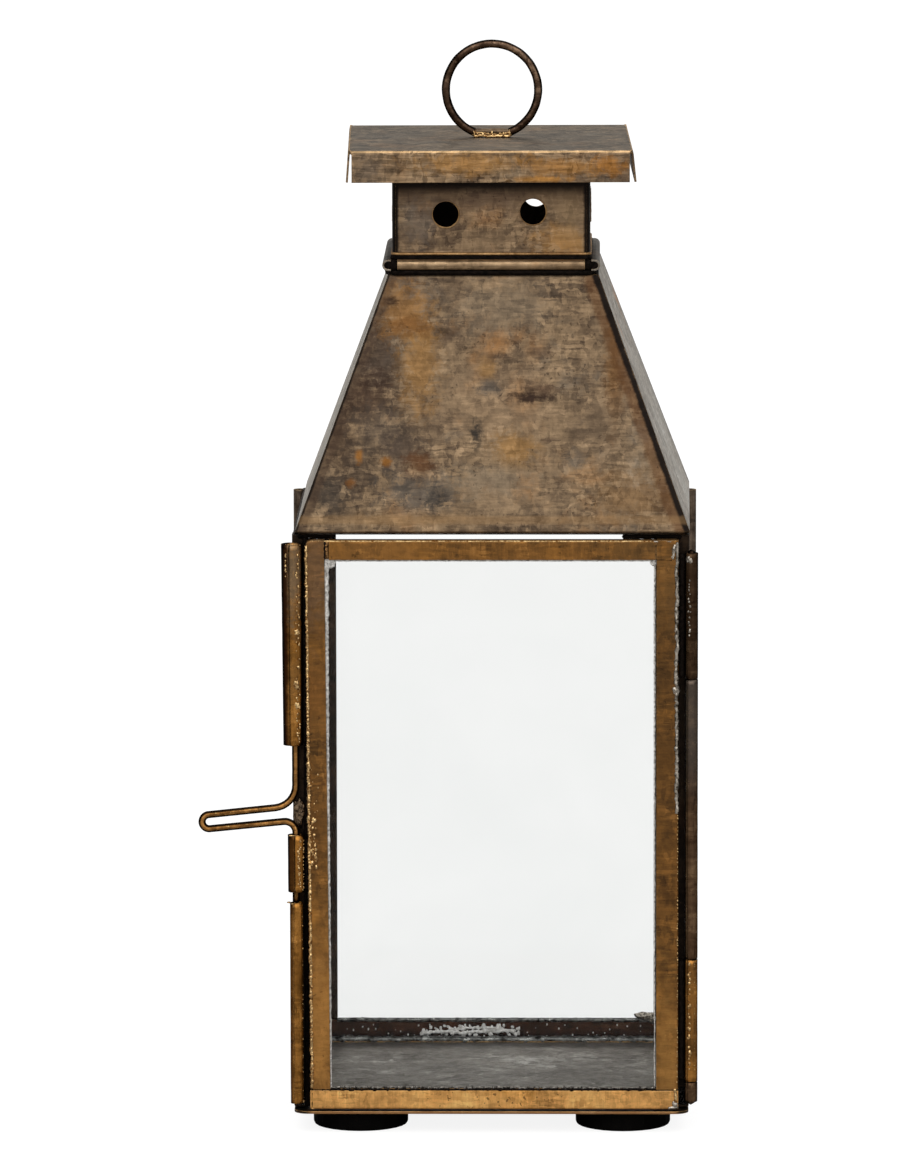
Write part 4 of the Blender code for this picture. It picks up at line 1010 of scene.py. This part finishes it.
def body_braze(braze, tin, soot_and_shade, lip):
    """Solder and fillets on the lantern's body, and black pieces as painted shadow under the eaves, at the
    front left corner and round the chimney's bead.
    """
    form = bmesh.new()
    drop(form, (-53.2, -51.5, 83.6), (1.4, 0.5, 3.9), 0.6, 3)
    drops(form, (-53.2, -51.75, 80.5), (-52.4, -51.75, 87), (0.25, 0.5), 0.9, (0.6, 0.05, 0.3), 16)
    dusky = solder_finish("side_solder", (26, 17, 11), (150, 128, 104), seed=5)
    place_piece("side_solder_left", form, dusky, "lantern")

    form = bmesh.new()
    drop(form, (-56.0, -54.7, 58.95), (0.62, 0.35, 0.22), 0.6)
    drops(form, (-55.3, -56.2, 58.8), (-52.8, -56.2, 58.8), (0.1, 0.2), 0.35, (0.05, 0.06, 0.08), 17)
    drops(form, *upright(-52.3, -55.4, 3, 57), (0.1, 0.2), 2.2, (0.1, 0.1, 0.5), 18)
    drop(form, (-52.2, -55.0, 2.9), (0.35, 0.4, 0.45), 0.5)
    for side in (-1, 1):
        low, high = (side * 53.7, 55.6, 4), (side * 53.7, 55.6, 157)
        drops(form, low, high, (0.22, 0.45), 1.3, (0.2, 0.1, 0.4), 19 + side)
        low, high = (side * 55.2, 52.2, 4), (side * 55.2, 52.2, 157)
        drops(form, low, high, (0.2, 0.36), 1.7, (0.12, 0.2, 0.4), 22 + side)
    place_piece("tube_braze", form, braze, "lantern")

    # Black rods under the eaves and in the gap at the front left corner: painted shadow.
    form = bmesh.new()
    rod(form, line(*upright(-50.65, -51.35, 1.2, 160.2), 1.0, 0.12, 15), 0.72, 8, 1.0, 0.25, 1.5)
    rod(form, line((-53.0, -51.6, 161.0), (-43.0, -51.6, 161.0), 0.6, 0.12, 16), 0.62, 10, 0.7, 0.35, 1.2)
    rod(form, line(*upright(-51.3, -51.5, 1.0, 160.6), 0.9, 0.1, 53), 0.55, 8, 0.8, 0.3, 1.3)
    rod(form, line((36.6, -51.6, 160.9), (52.4, -51.6, 160.85), 0.6, 0.08, 17), 0.72, 10, 0.7, 0.2, 1.2)
    place_piece("eaves_and_corner_shadow", form, soot_and_shade, "lantern", "dark_brass")

    # A black groove above the bead, a black band under it and black plugs at the side beads' hollow ends:
    # painted shadow.
    form = bmesh.new()
    groove = ((-0.15, 235.2), (0.6, 235.3), (0.5, 235.75), (0.25, 236.45), (-0.15, 236.5))
    foot = ((-0.15, 231.1), (1.9, 231.1), (2.1, 232.25), (-0.15, 232.25))
    for profile in (groove, foot):
        moulding(form, CHIMNEY_HALF, CHIMNEY_CORNER, profile)
    for x in (-1, 1):
        for y in (-1, 1):
            drop(form, (x * 28.9, y * 29.35, 233.8), (1.15, 0.4, 1.45), 0.1, 3)
            drop(form, (x * 27.1, y * 28.7, 233.8), (1.5, 1.0, 1.5), 0.15, 3)
    place_piece("collar_shadow", form, soot_and_shade, "lantern", "dark_brass")

    form = bmesh.new()
    profile = ((-0.15, 236.4), (0.3, 236.4), (0.42, 236.7), (0.34, 237.0), (-0.15, 237.3))
    moulding(form, CHIMNEY_HALF, CHIMNEY_CORNER, profile)
    place_piece("collar_lip", form, lip, "lantern", "grey_brass")

    form = bmesh.new()
    burr, out = 3.72, 27.62
    paths = []
    for number, (x, z) in enumerate([(-12.6, 247.8), (11.6, 248.5)]):
        curl = arc((x, z), burr, 150 + 40 * number, 440 + 40 * number, 40)
        paths.append((0.16, [(px, -out, pz) for px, pz in curl]))
    for number, (x, z) in enumerate([(-12.1, 248.1), (11.6, 250.6)]):
        curl = arc((x, z), burr, 100 + 40 * number, 400, 40)
        paths.append((0.14, [(-px, out, pz) for px, pz in curl]))
    for side in (-1, 1):
        for y in (-12.1, 12.1):
            curl = arc((y, 248.1), burr, 130, 430, 40)
            paths.append((0.14, [(side * out, py, pz) for py, pz in curl]))
    for swell, path in paths:
        rod(form, path, lambda share: 0.06 + swell * math.sin(math.pi * share), 8, 1.0, 0.4, 0.7)
    place_piece("vent_burrs", form, lip, "lantern", "grey_brass")

    form = bmesh.new()
    drops(form, (-21.8, 52.1, 2.8), (7.1, 52.1, 2.9), (0.2, 0.62), 0.42, (0.4, 0.04, 1.6), 25)
    drops(form, (-44, 52.1, 3.0), (44, 52.1, 3.0), (0.1, 0.26), 1.9, (0.5, 0.04, 1.7), 26)
    rod(form, line((-21.0, 52.1, 2.5), (6.0, 52.1, 2.7), 0.35, 0.7, 54), 0.5, 8, lumpy=0.9, pitch=0.7)
    rod(form, line((-14.0, 52.1, 3.7), (1.0, 52.1, 3.6), 0.35, 0.6, 55), 0.4, 8, lumpy=0.9, pitch=0.7)
    # The back rail's solder specks are given pure white: solder, with painted glints.
    solder_and_glint_tones = (190, 188, 184), (255, 255, 252)
    white = solder_finish("solder_and_glint_white", *solder_and_glint_tones, rough=(0.3, 0.5), metal=0.0, shine=0.5, seed=9)
    place_piece("rail_solder_back", form, white, "lantern")
    form = bmesh.new()
    rod(form, line((-45.6, 52.25, 6.0), (45.6, 52.25, 6.0), 0.8, 0.12, 51), 0.62, 8, 0.6, 0.4, 1.3)
    rod(form, line((-50.5, 50.2, 0.55), (50.5, 50.2, 0.55), 0.8, 0.15, 52), 1.15, 8, 1.0, 0.45, 1.6)
    cold = solder_finish("cold_solder", (24, 22, 20), (140, 142, 140), seed=8, grain=0.5)
    place_piece("rail_fillets_back", form, cold, "lantern")
    form = bmesh.new()
    drop(form, (43.2, 51.9, 7.3), (2.9, 0.5, 1.1), 0.5, 3)
    drop(form, (45.2, 51.9, 6.6), (1.0, 0.5, 1.6), 0.5, 3)
    for x in (-1, 1):
        for y in (-1, 1):
            low, high = (x * 53.2, y * 53.2, 162.4), (x * 51.6, y * 51.6, 166.8)
            drops(form, low, high, (0.2, 0.4), 0.6, (0.2, 0.2, 0.2), 27 + x + 2 * y)
    place_piece("corner_solder", form, tin, "lantern")


def dress_added():
    braze = solder_finish("braze", (112, 72, 32), (250, 208, 150), rough=(0.18, 0.4), seed=1)
    tin = solder_finish("tin", (70, 64, 56), (208, 200, 188), seed=2)
    # Near black: stain in the corner seams, and painted shade in gaps, under the eaves and round the
    # chimney's bead.
    soot_and_shade = solder_finish("soot_and_shade", (3, 2, 1), (22, 14, 9), rough=(0.6, 0.9), metal=0.0, shine=0.08, seed=3)
    putty = solder_finish("putty", (128, 126, 122), (226, 224, 220), rough=(0.5, 0.7), metal=0.0, seed=4)
    strip = patina("saddle_brass", tones=SHEET_TONES, grain=EVEN, seed=23.0)
    lip_tones = ((96, 72, 48), (132, 100, 64), (170, 134, 90), (206, 172, 124))
    lip = patina("lip_brass", tones=lip_tones, grain=UPRIGHT, seed=24.0)
    latch_tubes(soot_and_shade)
    leaning_stile()
    hinge_tubes(soot_and_shade)
    wires()
    saddle(braze, strip)
    door_braze(braze, tin, soot_and_shade, putty)
    body_braze(braze, tin, soot_and_shade, lip)


camera()
studio()
dress_roof()
dress_top()
dress_door()
dress_body()
dress_added()
bpy.context.scene.view_settings.view_transform = "Standard"
